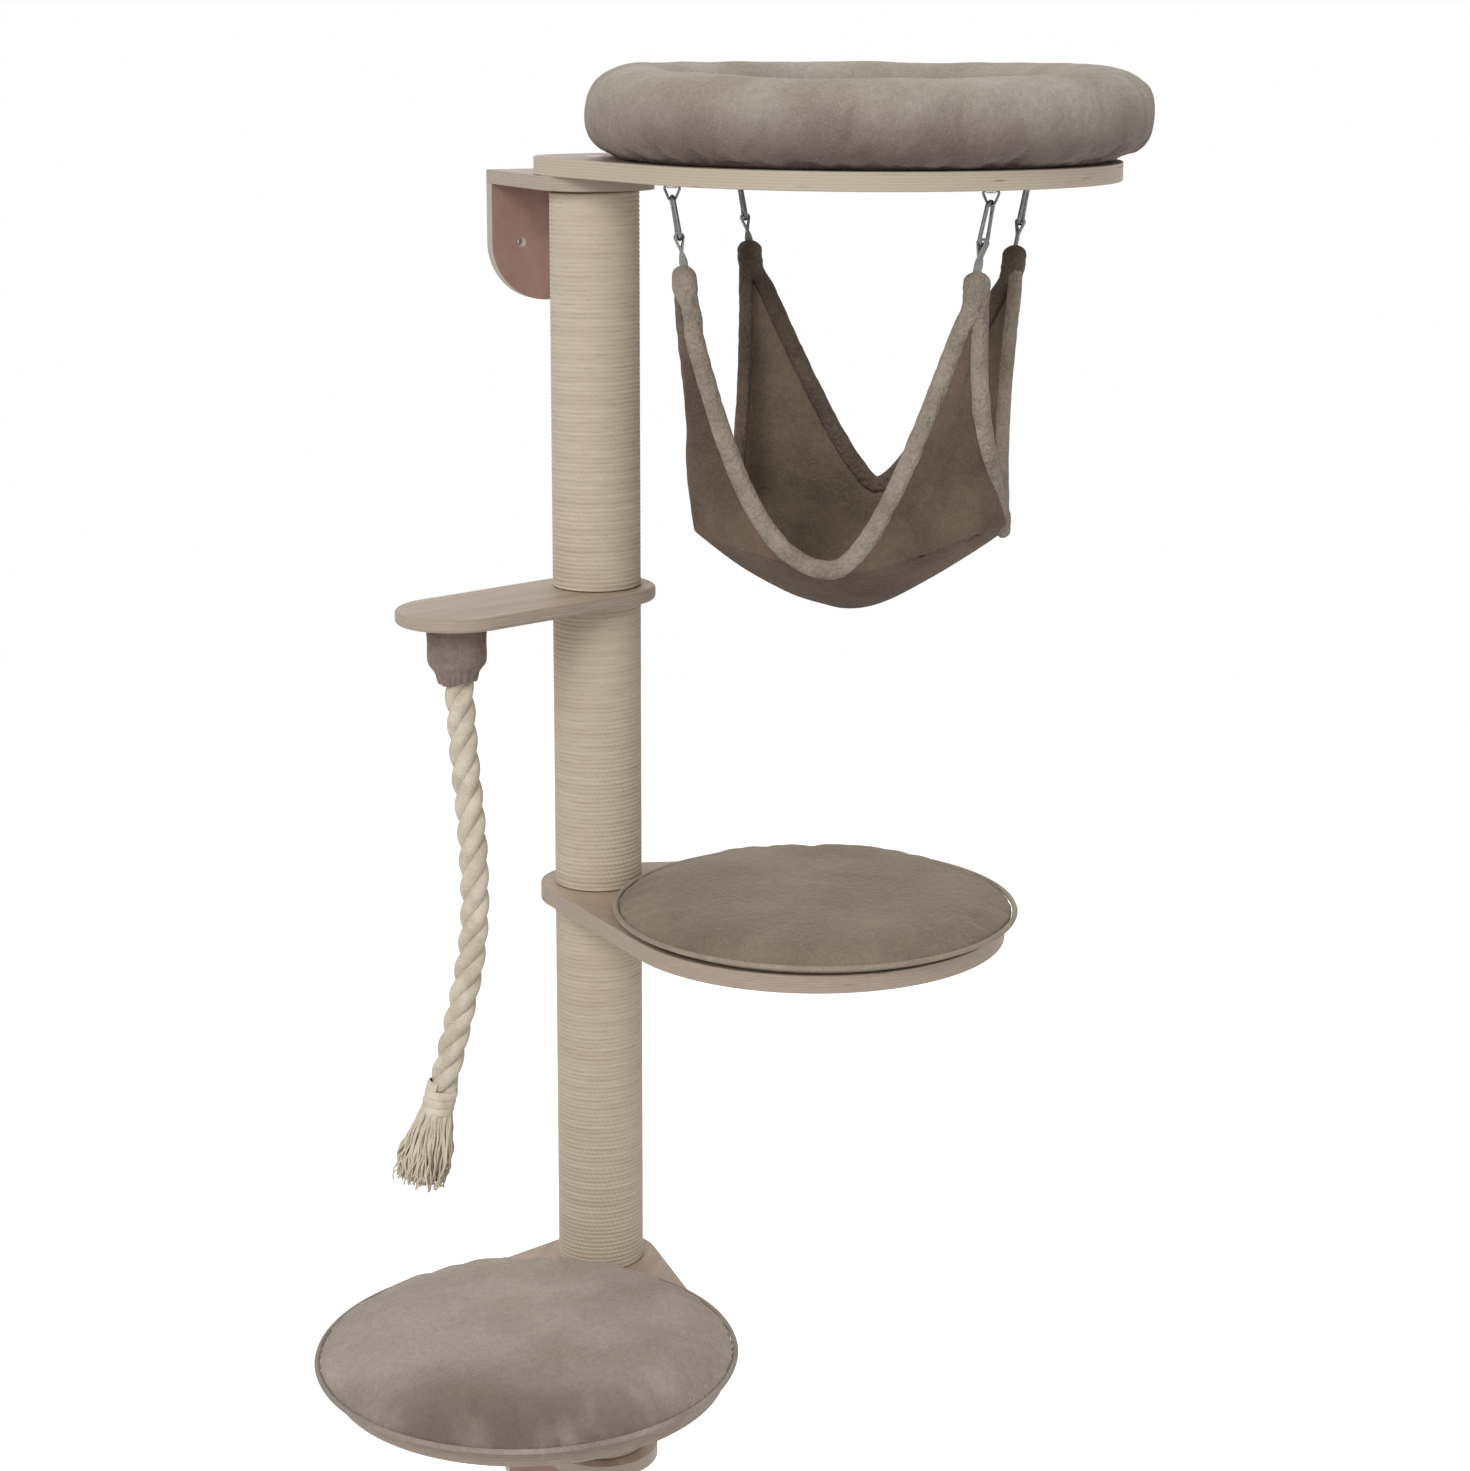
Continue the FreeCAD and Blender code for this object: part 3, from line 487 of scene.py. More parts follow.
middle = (cad_box[0] + cad_box[1]) / 2 if isinstance(cad_box[0], Vector) else Vector(
    [(a + b) / 2 for a, b in zip(*cad_box)])
for name, place, size, power in lamp_plan:
    lamp_data = bpy.data.lights.new(name, "AREA")
    lamp_data.shape = "DISK"
    lamp_data.size = size
    lamp_data.energy = power
    lamp = bpy.data.objects.new(name, lamp_data)
    lamp.location = place
    lamp.rotation_mode = "QUATERNION"
    lamp.rotation_quaternion = (middle - Vector(place)).to_track_quat("-Z", "Y")
    scene.collection.objects.link(lamp)

floor_paint, tree, shader = new_finish("floor paint", 0.9)
tone = spread(tree, grained(tree, own_place(tree), 1.5), 0.3, 0.7)
tree.links.new(mixed(tree, tone, (0.84, 0.84, 0.84, 1), (0.86, 0.86, 0.86, 1)),
               shader.inputs["Base Color"])
shader.inputs["Emission Color"].default_value = (1, 1, 1, 1)
glow = maths(tree, "MULTIPLY", seen_directly(tree), floor_glow)
tree.links.new(glow, shader.inputs["Emission Strength"])
floor_mesh = bpy.data.meshes.new("floor")
rim = [(math.cos(2 * math.pi * n / 96) * floor_r, math.sin(2 * math.pi * n / 96) * floor_r,
        floor_z) for n in range(96)]
floor_mesh.from_pydata(rim, [], [tuple(range(96))])
floor_mesh.materials.append(floor_paint)
floor = bpy.data.objects.new("floor", floor_mesh)
scene.collection.objects.link(floor)

# ---------------------------------------------------------------- plywood
# Birch plywood with a clear matt coat: the wall brackets and step shelf are 14 mm thick, the
# round boards 18 mm. Faces show plain veneer, edges the thin plies with a few dark voids.
ply_t = 0.0014


def plywood(name, across, start, turn, pale, face=(172, 153, 135)):
    """across is the axis through the plies, start a face's place on it, turn the grain's."""
    material, tree, shader = new_finish(name, 0.55)
    coords = node(tree, "TexCoord").outputs
    place = coords["Object"]
    axis = "XYZ".index(across)
    depth = node(tree, "SeparateXYZ", Vector=place).outputs[axis]
    facing = node(tree, "SeparateXYZ", Vector=coords["Normal"]).outputs[axis]
    on_face = spread(tree, maths(tree, "ABSOLUTE", facing), 0.72, 0.92)

    layer = maths(tree, "DIVIDE", maths(tree, "SUBTRACT", depth, start), ply_t)
    wave = maths(tree, "SINE", maths(tree, "MULTIPLY", layer, math.pi))
    end_grain = spread(tree, wave, -0.5, 0.5)
    glue = spread(tree, maths(tree, "ABSOLUTE", wave), 0.0, 0.28)
    squeeze = {"X": (9.0, 60.0, 60.0), "Y": (60.0, 400.0, 60.0), "Z": (60.0, 60.0, 500.0)}
    flat = node(tree, "Mapping", Vector=place, Scale=squeeze[across]).outputs[0]
    streak = grained(tree, flat, 1.0, 4.0)
    light_edge = srgb(*pale)
    dark_edge = srgb(*(round(c * 0.88) for c in pale))
    edge = mixed(tree, maths(tree, "MULTIPLY", end_grain, 0.5), light_edge, dark_edge)
    edge = mixed(tree, maths(tree, "MULTIPLY", maths(tree, "SUBTRACT", 1.0, glue), 0.2),
                 edge, srgb(150, 126, 102))
    edge = mixed(tree, maths(tree, "MULTIPLY", spread(tree, streak, 0.45, 0.7), 0.25), edge,
                 srgb(196, 174, 150))
    void_squeeze = {"X": (1, 1, 1), "Y": (16.0, 700.0, 16.0), "Z": (16.0, 16.0, 700.0)}
    flat = node(tree, "Mapping", Vector=place, Scale=void_squeeze[across]).outputs[0]
    voids = spread(tree, grained(tree, flat, 1.0, 2.0), 0.70, 0.74)
    edge = mixed(tree, maths(tree, "MULTIPLY", voids, 0.8), edge, srgb(96, 74, 58))

    along = node(tree, "Mapping", {"vector_type": "TEXTURE"}, Vector=place,
                 Rotation=(0, 0, turn)).outputs[0]
    fibres = node(tree, "Mapping", Vector=along, Scale=(7.0, 190.0, 190.0)).outputs[0]
    if across == "Y":
        fibres = node(tree, "Mapping", Vector=place, Scale=(90.0, 90.0, 9.0)).outputs[0]
    grain = grained(tree, fibres, 1.0, 5.0, 0.4)
    broad = node(tree, "Mapping", Vector=along, Scale=(2.0, 26.0, 26.0)).outputs[0]
    if across == "Y":
        broad = node(tree, "Mapping", Vector=place, Scale=(24.0, 24.0, 14.0),
                     Rotation=(0, 0.7, 0)).outputs[0]
    figure = grained(tree, broad, 1.0, 3.0, 1.2)
    veneer = mixed(tree, spread(tree, figure, 0.3, 0.7), srgb(*(round(c * 0.93) for c in face)),
                   srgb(*(min(255, round(c * 1.05)) for c in face)))
    veneer = mixed(tree, maths(tree, "MULTIPLY", spread(tree, grain, 0.5, 0.72), 0.22),
                   veneer, srgb(*(round(c * 0.80) for c in face)))
    tree.links.new(mixed(tree, on_face, edge, veneer), shader.inputs["Base Color"])
    bumped(tree, shader, grain, 0.12, 0.0004)
    return material


def coat(names, material):
    """Give pieces of the frame a finish."""
    for name in names:
        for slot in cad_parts[name].material_slots:
            slot.material = material


board_plan = (
    ("top_board", 53, (187, 174, 155)),
    ("step_shelf", -74, (168, 152, 137)),
    ("middle_board", 36, (168, 151, 136)),
    ("bottom_board", -41, (156, 140, 127)),
)
for name, turn, pale in board_plan:
    board_low, board_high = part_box(name)
    coat([name], plywood(name + " ply", "Z", board_low.z, math.radians(turn - 90), pale))
for level in ("upper", "lower"):
    plate_low, plate_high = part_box(level + "_bracket_plate")
    coat([level + "_bracket_plate"],
         plywood(level + " bracket ply", "Z", plate_low.z, math.radians(90), (171, 157, 142)))
    plate_low, plate_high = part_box(level + "_wall_plate")
    coat([level + "_wall_plate"],
         plywood(level + " wall ply", "Y", plate_low.y, 0.0, (184, 172, 158),
                 face=(160, 129, 117)))

# ---------------------------------------------------------------- post
# Four lengths of board tube, one above the other, each closely wound with one layer of
# 4.5 mm sisal rope, glued on. Turned plugs in their ends hold steel inserts.
sisal_d = 0.0045
sisal_steps = 84                        # along one turn
sisal_across = 5                        # over one rope's width
sisal_groove = 0.0008                   # between turns; fluff fills the rest
sisal_names = ["post_%d_sisal" % n for n in range(1, 5)]


def sisal():
    """Golden fibres, twisted into a thin rope whose lay shows as fine slanting lines. Painted
    shade darkens the lay's grooves and the gaps between turns.
    """
    material, tree, shader = new_finish("sisal", 0.85)
    shader.inputs["Sheen Weight"].default_value = 0.15
    place = own_place(tree)
    turned = node(tree, "UVMap").outputs[0]
    split = node(tree, "SeparateXYZ", Vector=turned).outputs
    slant = maths(tree, "ADD", split[0], maths(tree, "MULTIPLY", split[1], 0.0042))
    lay = maths(tree, "SINE", maths(tree, "MULTIPLY", slant, 2 * math.pi / 0.0052))
    rows = node(tree, "Mapping", Vector=place, Scale=(6.0, 6.0, 150.0)).outputs[0]
    batch = spread(tree, grained(tree, rows, 1.0, 4.0), 0.3, 0.7)
    colour = mixed(tree, batch, srgb(192, 177, 158), srgb(205, 190, 172))
    fibre = spread(tree, grained(tree, place, 620.0, 5.0), 0.42, 0.7)
    colour = mixed(tree, maths(tree, "MULTIPLY", fibre, 0.22), colour, srgb(184, 165, 140))
    # Painted shade in the grooves of the rope's lay.
    lay_groove_shade = spread(tree, lay, -0.4, -1.0)
    colour = mixed(tree, maths(tree, "MULTIPLY", lay_groove_shade, 0.10), colour, srgb(160, 140, 114))
    # Painted shade: the gaps between turns are darkened in broken dashes.
    crevice = maths(tree, "ABSOLUTE", maths(tree, "SUBTRACT", split[1], 0.5))
    deep = spread(tree, crevice, 0.30, 0.5)
    gap_shade_dashes = node(tree, "Mapping", Vector=place, Scale=(45.0, 45.0, 420.0)).outputs[0]
    broken = maths(tree, "MULTIPLY", spread(tree, grained(tree, gap_shade_dashes, 1.0, 3.0), 0.42, 0.66),
                   0.42)
    colour = mixed(tree, maths(tree, "MULTIPLY", deep, broken), colour, srgb(140, 122, 92))
    tree.links.new(colour, shader.inputs["Base Color"])
    first = bumped(tree, shader, fibre, 0.5, 0.0003)
    bumped(tree, shader, lay, 0.25, 0.0003, first)
    return material


def sisal_winding(node_name):
    """One unbroken winding, from the foot of a post to its head."""
    low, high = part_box(node_name)
    centre = Vector(((low.x + high.x) / 2, (low.y + high.y) / 2, 0))
    outer_r = (high.x - low.x) / 2
    height = high.z - low.z
    turns = round(height / sisal_d)
    pitch = height / turns
    rows = turns * sisal_steps
    verts = []
    for n in range(rows + sisal_steps + 1):
        angle = 2 * math.pi * n / sisal_steps
        radial = Vector((math.cos(angle), math.sin(angle), 0))
        slack = 0.00022 * noise.noise(Vector((angle * 1.3, low.z * 40, 0)))
        for k in range(sisal_across):
            share = k / sisal_across
            crown = math.sqrt(max(0.0, 1 - (2 * share - 1) ** 2)) if k else 0.0
            r = outer_r - sisal_groove * (1 - crown)
            z = low.z + pitch * (n / sisal_steps + share - 1) + slack
            verts.append(centre + radial * r + Vector((0, 0, min(max(z, low.z), high.z))))
    faces = []
    uvs = []
    for n in range(rows):
        for k in range(sisal_across):
            a = n * sisal_across + k
            b = a + sisal_across
            last = k == sisal_across - 1
            c = (n + sisal_steps) * sisal_across if last else a + 1
            d = (n + 1 + sisal_steps) * sisal_across if last else b + 1
            faces.append((a, b, d, c))
            s = n / sisal_steps * 2 * math.pi * outer_r
            t = (n + 1) / sisal_steps * 2 * math.pi * outer_r
            low_share = k / sisal_across
            high_share = (k + 1) / sisal_across
            uvs += [(s, low_share), (t, low_share), (t, high_share), (s, high_share)]
    piece = new_piece(node_name.replace("sisal", "winding"), verts, faces, sisal_finish,
                      "root")
    layer = piece.data.uv_layers.new(name="lay")
    for corner, uv in enumerate(uvs):
        layer.data[corner].uv = uv
    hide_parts(node_name)


sisal_finish = sisal()
for name in sisal_names:
    sisal_winding(name)


def turned_wood(name, colour):
    material, tree, shader = new_finish(name, 0.7)
    stretched = node(tree, "Mapping", Vector=own_place(tree), Scale=(60, 60, 12)).outputs[0]
    rings = spread(tree, grained(tree, stretched, 6.0, 4.0, 0.8), 0.35, 0.7)
    tree.links.new(mixed(tree, rings, srgb(*colour), srgb(*(round(c * 0.84) for c in colour))),
                   shader.inputs["Base Color"])
    bumped(tree, shader, rings, 0.1, 0.0004)
    return material


def kraft_board():
    material, tree, shader = new_finish("kraft board", 0.9)
    place = own_place(tree)
    laps = maths(tree, "FRACT", maths(tree, "MULTIPLY", node(
        tree, "SeparateXYZ", Vector=place).outputs[2], 11.0))
    seam = spread(tree, laps, 0.0, 0.03)
    flecks = spread(tree, grained(tree, place, 420.0, 4.0), 0.4, 0.7)
    colour = mixed(tree, flecks, srgb(176, 146, 110), srgb(158, 128, 94))
    tree.links.new(mixed(tree, seam, srgb(140, 112, 80), colour), shader.inputs["Base Color"])
    bumped(tree, shader, flecks, 0.2, 0.0002)
    return material


def plated_steel(name, colour, roughness, scale):
    """Plated wire or sheet with the faint cloudiness of its plating."""
    material, tree, shader = new_finish(name, roughness)
    shader.inputs["Metallic"].default_value = 1.0
    cloud = spread(tree, grained(tree, own_place(tree), scale, 4.0), 0.3, 0.7)
    tree.links.new(mixed(tree, cloud, srgb(*colour), srgb(*(round(c * 0.86) for c in colour))),
                   shader.inputs["Base Color"])
    gloss = node(tree, "MapRange", Value=cloud, To_Min=roughness * 0.8,
                 To_Max=roughness * 1.25).outputs[0]
    tree.links.new(gloss, shader.inputs["Roughness"])
    bumped(tree, shader, cloud, 0.05, 0.0002)
    return material


zinc = plated_steel("zinc plating", (196, 197, 200), 0.38, 240.0)
pine = turned_wood("turned pine", (214, 184, 140))
board_tube = kraft_board()
coat(["post_%d_core" % n for n in range(1, 5)], board_tube)
coat(["post_%d_plugs" % n for n in range(1, 5)] + ["rope_anchor", "anchor_dowel"], pine)
coat(["threaded_inserts", "joining_studs", "clamp_bolts", "bracket_screws"], zinc)

# ---------------------------------------------------------------- plush covers
# Short pile plush in warm taupe. The pile lies this way and that, so it looks lighter and
# darker in soft patches.


def plush(name, light, dark, patch=13.0, foot=None, foot_colour=(118, 100, 90), curl=0.0,
          sheen=0.3, way=(0, 0, 1)):
    """Below foot's first value along a way the pile looks darker, and fades over its second."""
    material, tree, shader = new_finish(name, 0.95)
    shader.inputs["Sheen Weight"].default_value = sheen
    shader.inputs["Sheen Roughness"].default_value = 0.45
    shader.inputs["Sheen Tint"].default_value = srgb(226, 214, 200)
    shader.inputs["Specular IOR Level"].default_value = 0.2
    place = own_place(tree)
    nap = spread(tree, grained(tree, place, patch, 5.0, 0.2), 0.25, 0.75)
    colour = mixed(tree, nap, srgb(*dark), srgb(*light))
    brushed = spread(tree, grained(tree, place, 130.0, 4.0, 0.3), 0.32, 0.68)
    colour = mixed(tree, maths(tree, "MULTIPLY", brushed, 0.20), colour,
                   srgb(*(round(c * 0.86) for c in dark)))
    pile = grained(tree, place, 480.0, 5.0)
    tips = spread(tree, pile, 0.38, 0.66)
    colour = mixed(tree, maths(tree, "MULTIPLY", tips, 0.22), colour,
                   srgb(*(min(255, round(c * 1.10)) for c in light)))
    # On the bed this darker foot is painted shade under the ring's bulge.
    if foot:
        height = tree.nodes.new("ShaderNodeVectorMath")
        height.operation = "DOT_PRODUCT"
        tree.links.new(place, height.inputs[0])
        height.inputs[1].default_value = way
        low = maths(tree, "SUBTRACT", 1.0, spread(tree, height.outputs["Value"], foot[0],
                                                  foot[0] + foot[1]))
        uneven = spread(tree, grained(tree, place, 19.0, 3.0, 0.3), 0.30, 0.56)
        uneven = maths(tree, "ADD", maths(tree, "MULTIPLY", uneven, foot[2]), 1.0 - foot[2])
        patchy = maths(tree, "MULTIPLY", maths(tree, "MULTIPLY", low, 0.85), uneven)
        colour = mixed(tree, patchy, colour, srgb(*foot_colour))
    tree.links.new(colour, shader.inputs["Base Color"])
    first = bumped(tree, shader, pile, 0.75, 0.0016)
    second = bumped(tree, shader, brushed, 0.45, 0.0020, first)
    if curl:
        curls = node(tree, "TexVoronoi", Vector=place, Scale=curl).outputs[0]
        bumped(tree, shader, curls, 0.7, 0.0030, second)
    return material


def lumps(point, size, amount):
    return amount * noise.noise(point / size)


def filled(piece, held_below, spare, cap, voxel=0.006, pressure=4.0, frames=20):
    """Let a stuffed cover swell. Its part under held_below stays, spare is the cover's extra
    length as a share, and no point moves further than cap."""
    even = piece.modifiers.new("even mesh", "REMESH")
    even.mode = "VOXEL"
    even.voxel_size = voxel
    graph = bpy.context.evaluated_depsgraph_get()
    mesh = bpy.data.meshes.new_from_object(piece.evaluated_get(graph))
    piece.modifiers.remove(even)
    piece.data = mesh
    before = [vertex.co.copy() for vertex in mesh.vertices]
    held = piece.vertex_groups.new(name="held")
    held.add([n for n, co in enumerate(before) if co.z < held_below], 1.0, "REPLACE")
    cloth = piece.modifiers.new("cover", "CLOTH")
    cloth.settings.quality = 5
    cloth.settings.mass = 0.3
    cloth.settings.tension_stiffness = 8
    cloth.settings.compression_stiffness = 8
    cloth.settings.shear_stiffness = 3
    cloth.settings.bending_stiffness = 0.3
    cloth.settings.use_pressure = True
    cloth.settings.uniform_pressure_force = pressure
    cloth.settings.shrink_min = -spare
    cloth.settings.effector_weights.gravity = 0.0
    cloth.settings.vertex_group_mass = held.name
    cloth.collision_settings.use_collision = False
    for number in range(1, frames + 1):
        scene.frame_set(number)
    graph = bpy.context.evaluated_depsgraph_get()
    swollen = piece.evaluated_get(graph).to_mesh()
    for vertex, start, moved in zip(mesh.vertices, before, swollen.vertices):
        step = moved.co - start
        if step.length > cap:
            step *= cap / step.length
        vertex.co = start + step
    piece.evaluated_get(graph).to_mesh_clear()
    piece.modifiers.remove(cloth)
    scene.frame_set(1)
    mesh.polygons.foreach_set("use_smooth", [True] * len(mesh.polygons))
    finer = piece.modifiers.new("finer", "SUBSURF")
    finer.levels = 1
    finer.render_levels = 1


# ---------------------------------------------------------------- round bed
# A sewn plush tube, stuffed with fibre and closed to a ring, with a round pad inside it. The
# ring bulges over its foot, where the cover is drawn in to small creases.
bed_rounds = 260
bed_section = 64
bed_creases = 62

bed_low, bed_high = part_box("bed_bolster")
bed_middle = Vector(((bed_low.x + bed_high.x) / 2, (bed_low.y + bed_high.y) / 2, bed_low.z))
bed_r = (bed_high.x - bed_low.x) / 2
bed_h = bed_high.z - bed_low.z
bed_foot_r = 0.248
bed_hole_r = 0.166
bed_crest_r = (bed_r + bed_hole_r) / 2
bed_thick = bed_r - bed_crest_r
foot_turn = math.radians(64)            # where the section's round meets the flat foot
bed_front = math.radians(-119)          # the side that is pressed down a little
bed_dip = 0.012
bed_slack = 0.0090    # room for the stuffing to swell
bed_chance = random.Random(3)
crease_turns = sorted(bed_chance.uniform(0, 2 * math.pi) for n in range(bed_creases))
crease_depths = [bed_chance.uniform(0.3, 1.0) for n in range(bed_creases)]


def crease_at(angle, turns, depths, width):
    """How deep the creases are at an angle round a piece, 0 to 1."""
    deep = 0.0
    for turn, depth in zip(turns, depths):
        gap = abs((angle - turn + math.pi) % (2 * math.pi) - math.pi)
        if gap < width:
            deep = max(deep, depth * (1 - gap / width) ** 2)
    return deep


def bed_ring():
    verts = []
    for n in range(bed_rounds):
        angle = 2 * math.pi * n / bed_rounds
        radial = Vector((math.cos(angle), math.sin(angle), 0))
        crease = crease_at(angle, crease_turns, crease_depths, 0.05)
        for k in range(bed_section):
            share = k / bed_section
            turn = -foot_turn + share * (math.pi + 2 * foot_turn) * bed_section / (
                bed_section - 6)
            if share <= (bed_section - 6) / bed_section:
                out = math.cos(turn)
                up = math.sin(turn)
                square = 1 + 0.055 * math.sin(2 * turn) ** 2
                r = bed_crest_r + bed_thick * out * square
                z = bed_h / 2 + bed_h / 2 * up * square
                z = max(z, 0.0)
                normal = (radial * out + Vector((0, 0, up))).normalized()
            else:
                back = (share - (bed_section - 6) / bed_section) * bed_section / 6
                r = bed_crest_r + bed_thick * math.cos(foot_turn) * (2 * back - 1)
                z = 0.0
                normal = Vector((0, 0, 0))
            dip = bed_dip * max(0.0, math.cos(angle - bed_front)) ** 1.5
            point = bed_middle + radial * r + Vector((0, 0, z * (1 - dip / bed_h)))
            swell = lumps(point, 0.085, 0.0040) + lumps(point, 0.034, 0.0015)
            low = max(0.0, 1 - z / (bed_h * 0.30))
            swell -= 0.0032 * crease * low
            verts.append(point + normal * (swell - bed_slack))
    faces = []
    for n in range(bed_rounds):
        for k in range(bed_section):
            a = n * bed_section + k
            b = n * bed_section + (k + 1) % bed_section
            c = ((n + 1) % bed_rounds) * bed_section + (k + 1) % bed_section
            d = ((n + 1) % bed_rounds) * bed_section + k
            faces.append((a, d, c, b))
    return verts, faces


# The bed plush, on the ring and its pad, is darkened towards its foot with painted shade.
bed_finish = plush("bed plush", (186, 177, 165), (150, 139, 126),
                   foot=(bed_low.z, 0.088, 0.15), foot_colour=(78, 62, 55))
verts, faces = bed_ring()
bolster = new_piece("bed_ring", verts, faces, bed_finish, "bed")
filled(bolster, bed_low.z + 0.003, 0.045, 0.008)
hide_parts("bed_bolster")


def pillow(centre, radius, thickness, seam_share, foot_in, crown_power, rounds=180,
           dents=0.0022):
    """Round filled cover: foot, drawn-in side, seam and crown."""
    seam_z = thickness * seam_share
    rise = thickness - seam_z
    profile = [(0.0, 0.0), ((radius - foot_in) * 0.5, 0.0), (radius - foot_in, 0.0),
               (radius - foot_in * 0.45, seam_z * 0.3), (radius - foot_in * 0.12, seam_z * 0.7),
               (radius, seam_z)]
    for n in range(1, 25):
        share = math.cos(math.pi / 2 * n / 25)
        profile.append((radius * share, seam_z + rise * (1 - share ** 2) ** crown_power))
    profile.append((0.0, thickness))
    verts = [centre.copy()]
    for r, z in profile[1:-1]:
        for n in range(rounds):
            angle = 2 * math.pi * n / rounds
            radial = Vector((math.cos(angle), math.sin(angle), 0))
            point = centre + radial * r + Vector((0, 0, z))
            share = r / radius
            above = max(0.0, (z - seam_z) / rise)
            sink = lumps(point, 0.075, dents * 1.6) + lumps(point, 0.03, dents * 0.5)
            verts.append(point + Vector((0, 0, min(0.0, sink * above - dents * 0.5 * above))))
    verts.append(centre + Vector((0, 0, thickness - dents)))
    rings = len(profile) - 2
    faces = []
    for n in range(rounds):
        faces.append((0, 1 + (n + 1) % rounds, 1 + n))
        for k in range(rings - 1):
            a = 1 + k * rounds + n
            b = 1 + k * rounds + (n + 1) % rounds
            faces.append((a, b, b + rounds, a + rounds))
        top = 1 + (rings - 1) * rounds
        faces.append((top + n, top + (n + 1) % rounds, len(verts) - 1))
    return verts, faces


base_low, base_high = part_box("bed_base")
base_middle = Vector((bed_middle.x, bed_middle.y, base_low.z))
verts, faces = pillow(base_middle, (base_high.x - base_low.x) / 2, base_high.z - base_low.z,
                      0.3, 0.012, 0.6)
base = new_piece("bed_pad", verts, faces, bed_finish, "bed")
filled(base, base_low.z + 0.012, 0.02, 0.004)
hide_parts("bed_base")

# ---------------------------------------------------------------- cushions
# Round loose cushions on the middle and bottom boards: two discs of plush sewn together with
# a thin piping, lightly filled. The bottom one is plumper.
cushion_piping_r = 0.0027
nap_way = Vector((0.453, 0.892, 0.0))  # the bottom one's pile is brushed dark at its front
cushion_plan = (                        # light and dark of the nap, seam, crown, piping, dark
    ("middle", "middle_cushion_pad", (147, 136, 119), (119, 107, 92), 0.30, 0.60, 22, None),
    ("bottom", "bottom_cushion_pad", (178, 168, 157), (148, 136, 124), 0.16, 0.46, -8, 0.12),
)
for name, body, light, dark, cushion_seam_share, crown, paler, dark_front in cushion_plan:
    low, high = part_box(name + "_cushion")
    centre = Vector(((low.x + high.x) / 2, (low.y + high.y) / 2, low.z))
    radius = (high.x - low.x) / 2
    thickness = high.z - low.z
    front = nap_way.dot(centre) - radius * 0.93
    finish = plush(name + " cushion plush", light, dark, patch=10.0,
                   foot=dark_front and (front, dark_front, 0.4), foot_colour=(110, 95, 84),
                   way=nap_way)
    verts, faces = pillow(centre, radius, thickness, cushion_seam_share, 0.012, crown)
    piece = new_piece(name + "_cushion_cover", verts, faces, finish, body)
    filled(piece, centre.z + thickness * cushion_seam_share + 0.001, 0.018, 0.006)
    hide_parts(name + "_cushion")
    ring = []
    for n in range(220):
        angle = 2 * math.pi * n / 220
        ring.append(centre + Vector((math.cos(angle) * radius, math.sin(angle) * radius,
                                     thickness * cushion_seam_share)))
    sides = 8
    verts = []
    faces = []
    for n, point in enumerate(ring):
        out = (point - centre)
        out.z = 0
        out.normalize()
        for k in range(sides):
            turn = 2 * math.pi * k / sides
            verts.append(point + out * math.cos(turn) * cushion_piping_r
                         + Vector((0, 0, math.sin(turn) * cushion_piping_r)))
            faces.append((n * sides + k, n * sides + (k + 1) % sides,
                          (n + 1) % 220 * sides + (k + 1) % sides, (n + 1) % 220 * sides + k))
    piping_finish = plush(name + " piping plush", tuple(c + paler for c in light),
                          tuple(c + paler for c in dark))
    piping = new_piece(name + "_cushion_piping", verts, faces, piping_finish, body)

# ---------------------------------------------------------------- hangers
# Four small hangers under the top board: a folded steel strap with two screws, a wire ring
# and a wire snap hook with a spring gate.
coat(["hanger_straps", "hanger_screws"], zinc)
nickel = plated_steel("dull nickel", (126, 126, 128), 0.34, 320.0)
corners = ("front_left", "back_left", "front_right", "back_right")
for corner in corners:
    coat(["ring_" + corner, "hook_" + corner, "gate_" + corner], nickel)

# ---------------------------------------------------------------- hammock
# One four-pointed piece of two layers of plush, brown outside and greyer inside, hung from
# its gathered points. Its edges are bound with a thick plush binding.
hammock_turn = math.radians(53 - 90 - 2)    # the top board's axis, and 2 degrees more
hammock_u = 0.14360                     # half the distance between sides, along the board
hammock_v = 0.15550                     # and across it
edge_drop = 0.283                       # corner to the lowest point of front and side edges
back_drop = 0.248
front_low_u = -0.014                    # the front edge hangs lowest here
hammock_bowl = 0.060                    # from there to the underside
bowl_low_u = -0.020                     # the underside is lowest here
hammock_t = 0.006
corner_w = 0.012                        # gathered corner, along each edge
corner_r = ((0.0, 0.009), (0.86, 0.026), (1.0, 0.046))   # share of the depth, rounding
front_sways = (0.0096, 0.0254)          # the front's foot, left and right, hangs to the right
back_sway = -0.002
back_narrow = 0.07                      # the back's foot is narrower, as a share
back_rise = 0.003                       # the back corners hang a little higher
corner_lifts = (0.036, 0.058)           # the foot's corners, left and right, are raised
edge_powers = {(-1, -1): 0.38, (-1, 1): 0.70, (1, -1): 0.60, (1, 1): 0.60}
side_powers = {(-1, -1): 0.36, (-1, 1): 0.36, (1, -1): 0.14, (1, 1): 0.36}
panel_across = 44
panel_down = 80
bowl_rings = 30
hammock_low, hammock_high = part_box("hammock_cloth")
hammock_middle = Vector(((hammock_low.x + hammock_high.x) / 2,
                         (hammock_low.y + hammock_high.y) / 2, hammock_high.z))


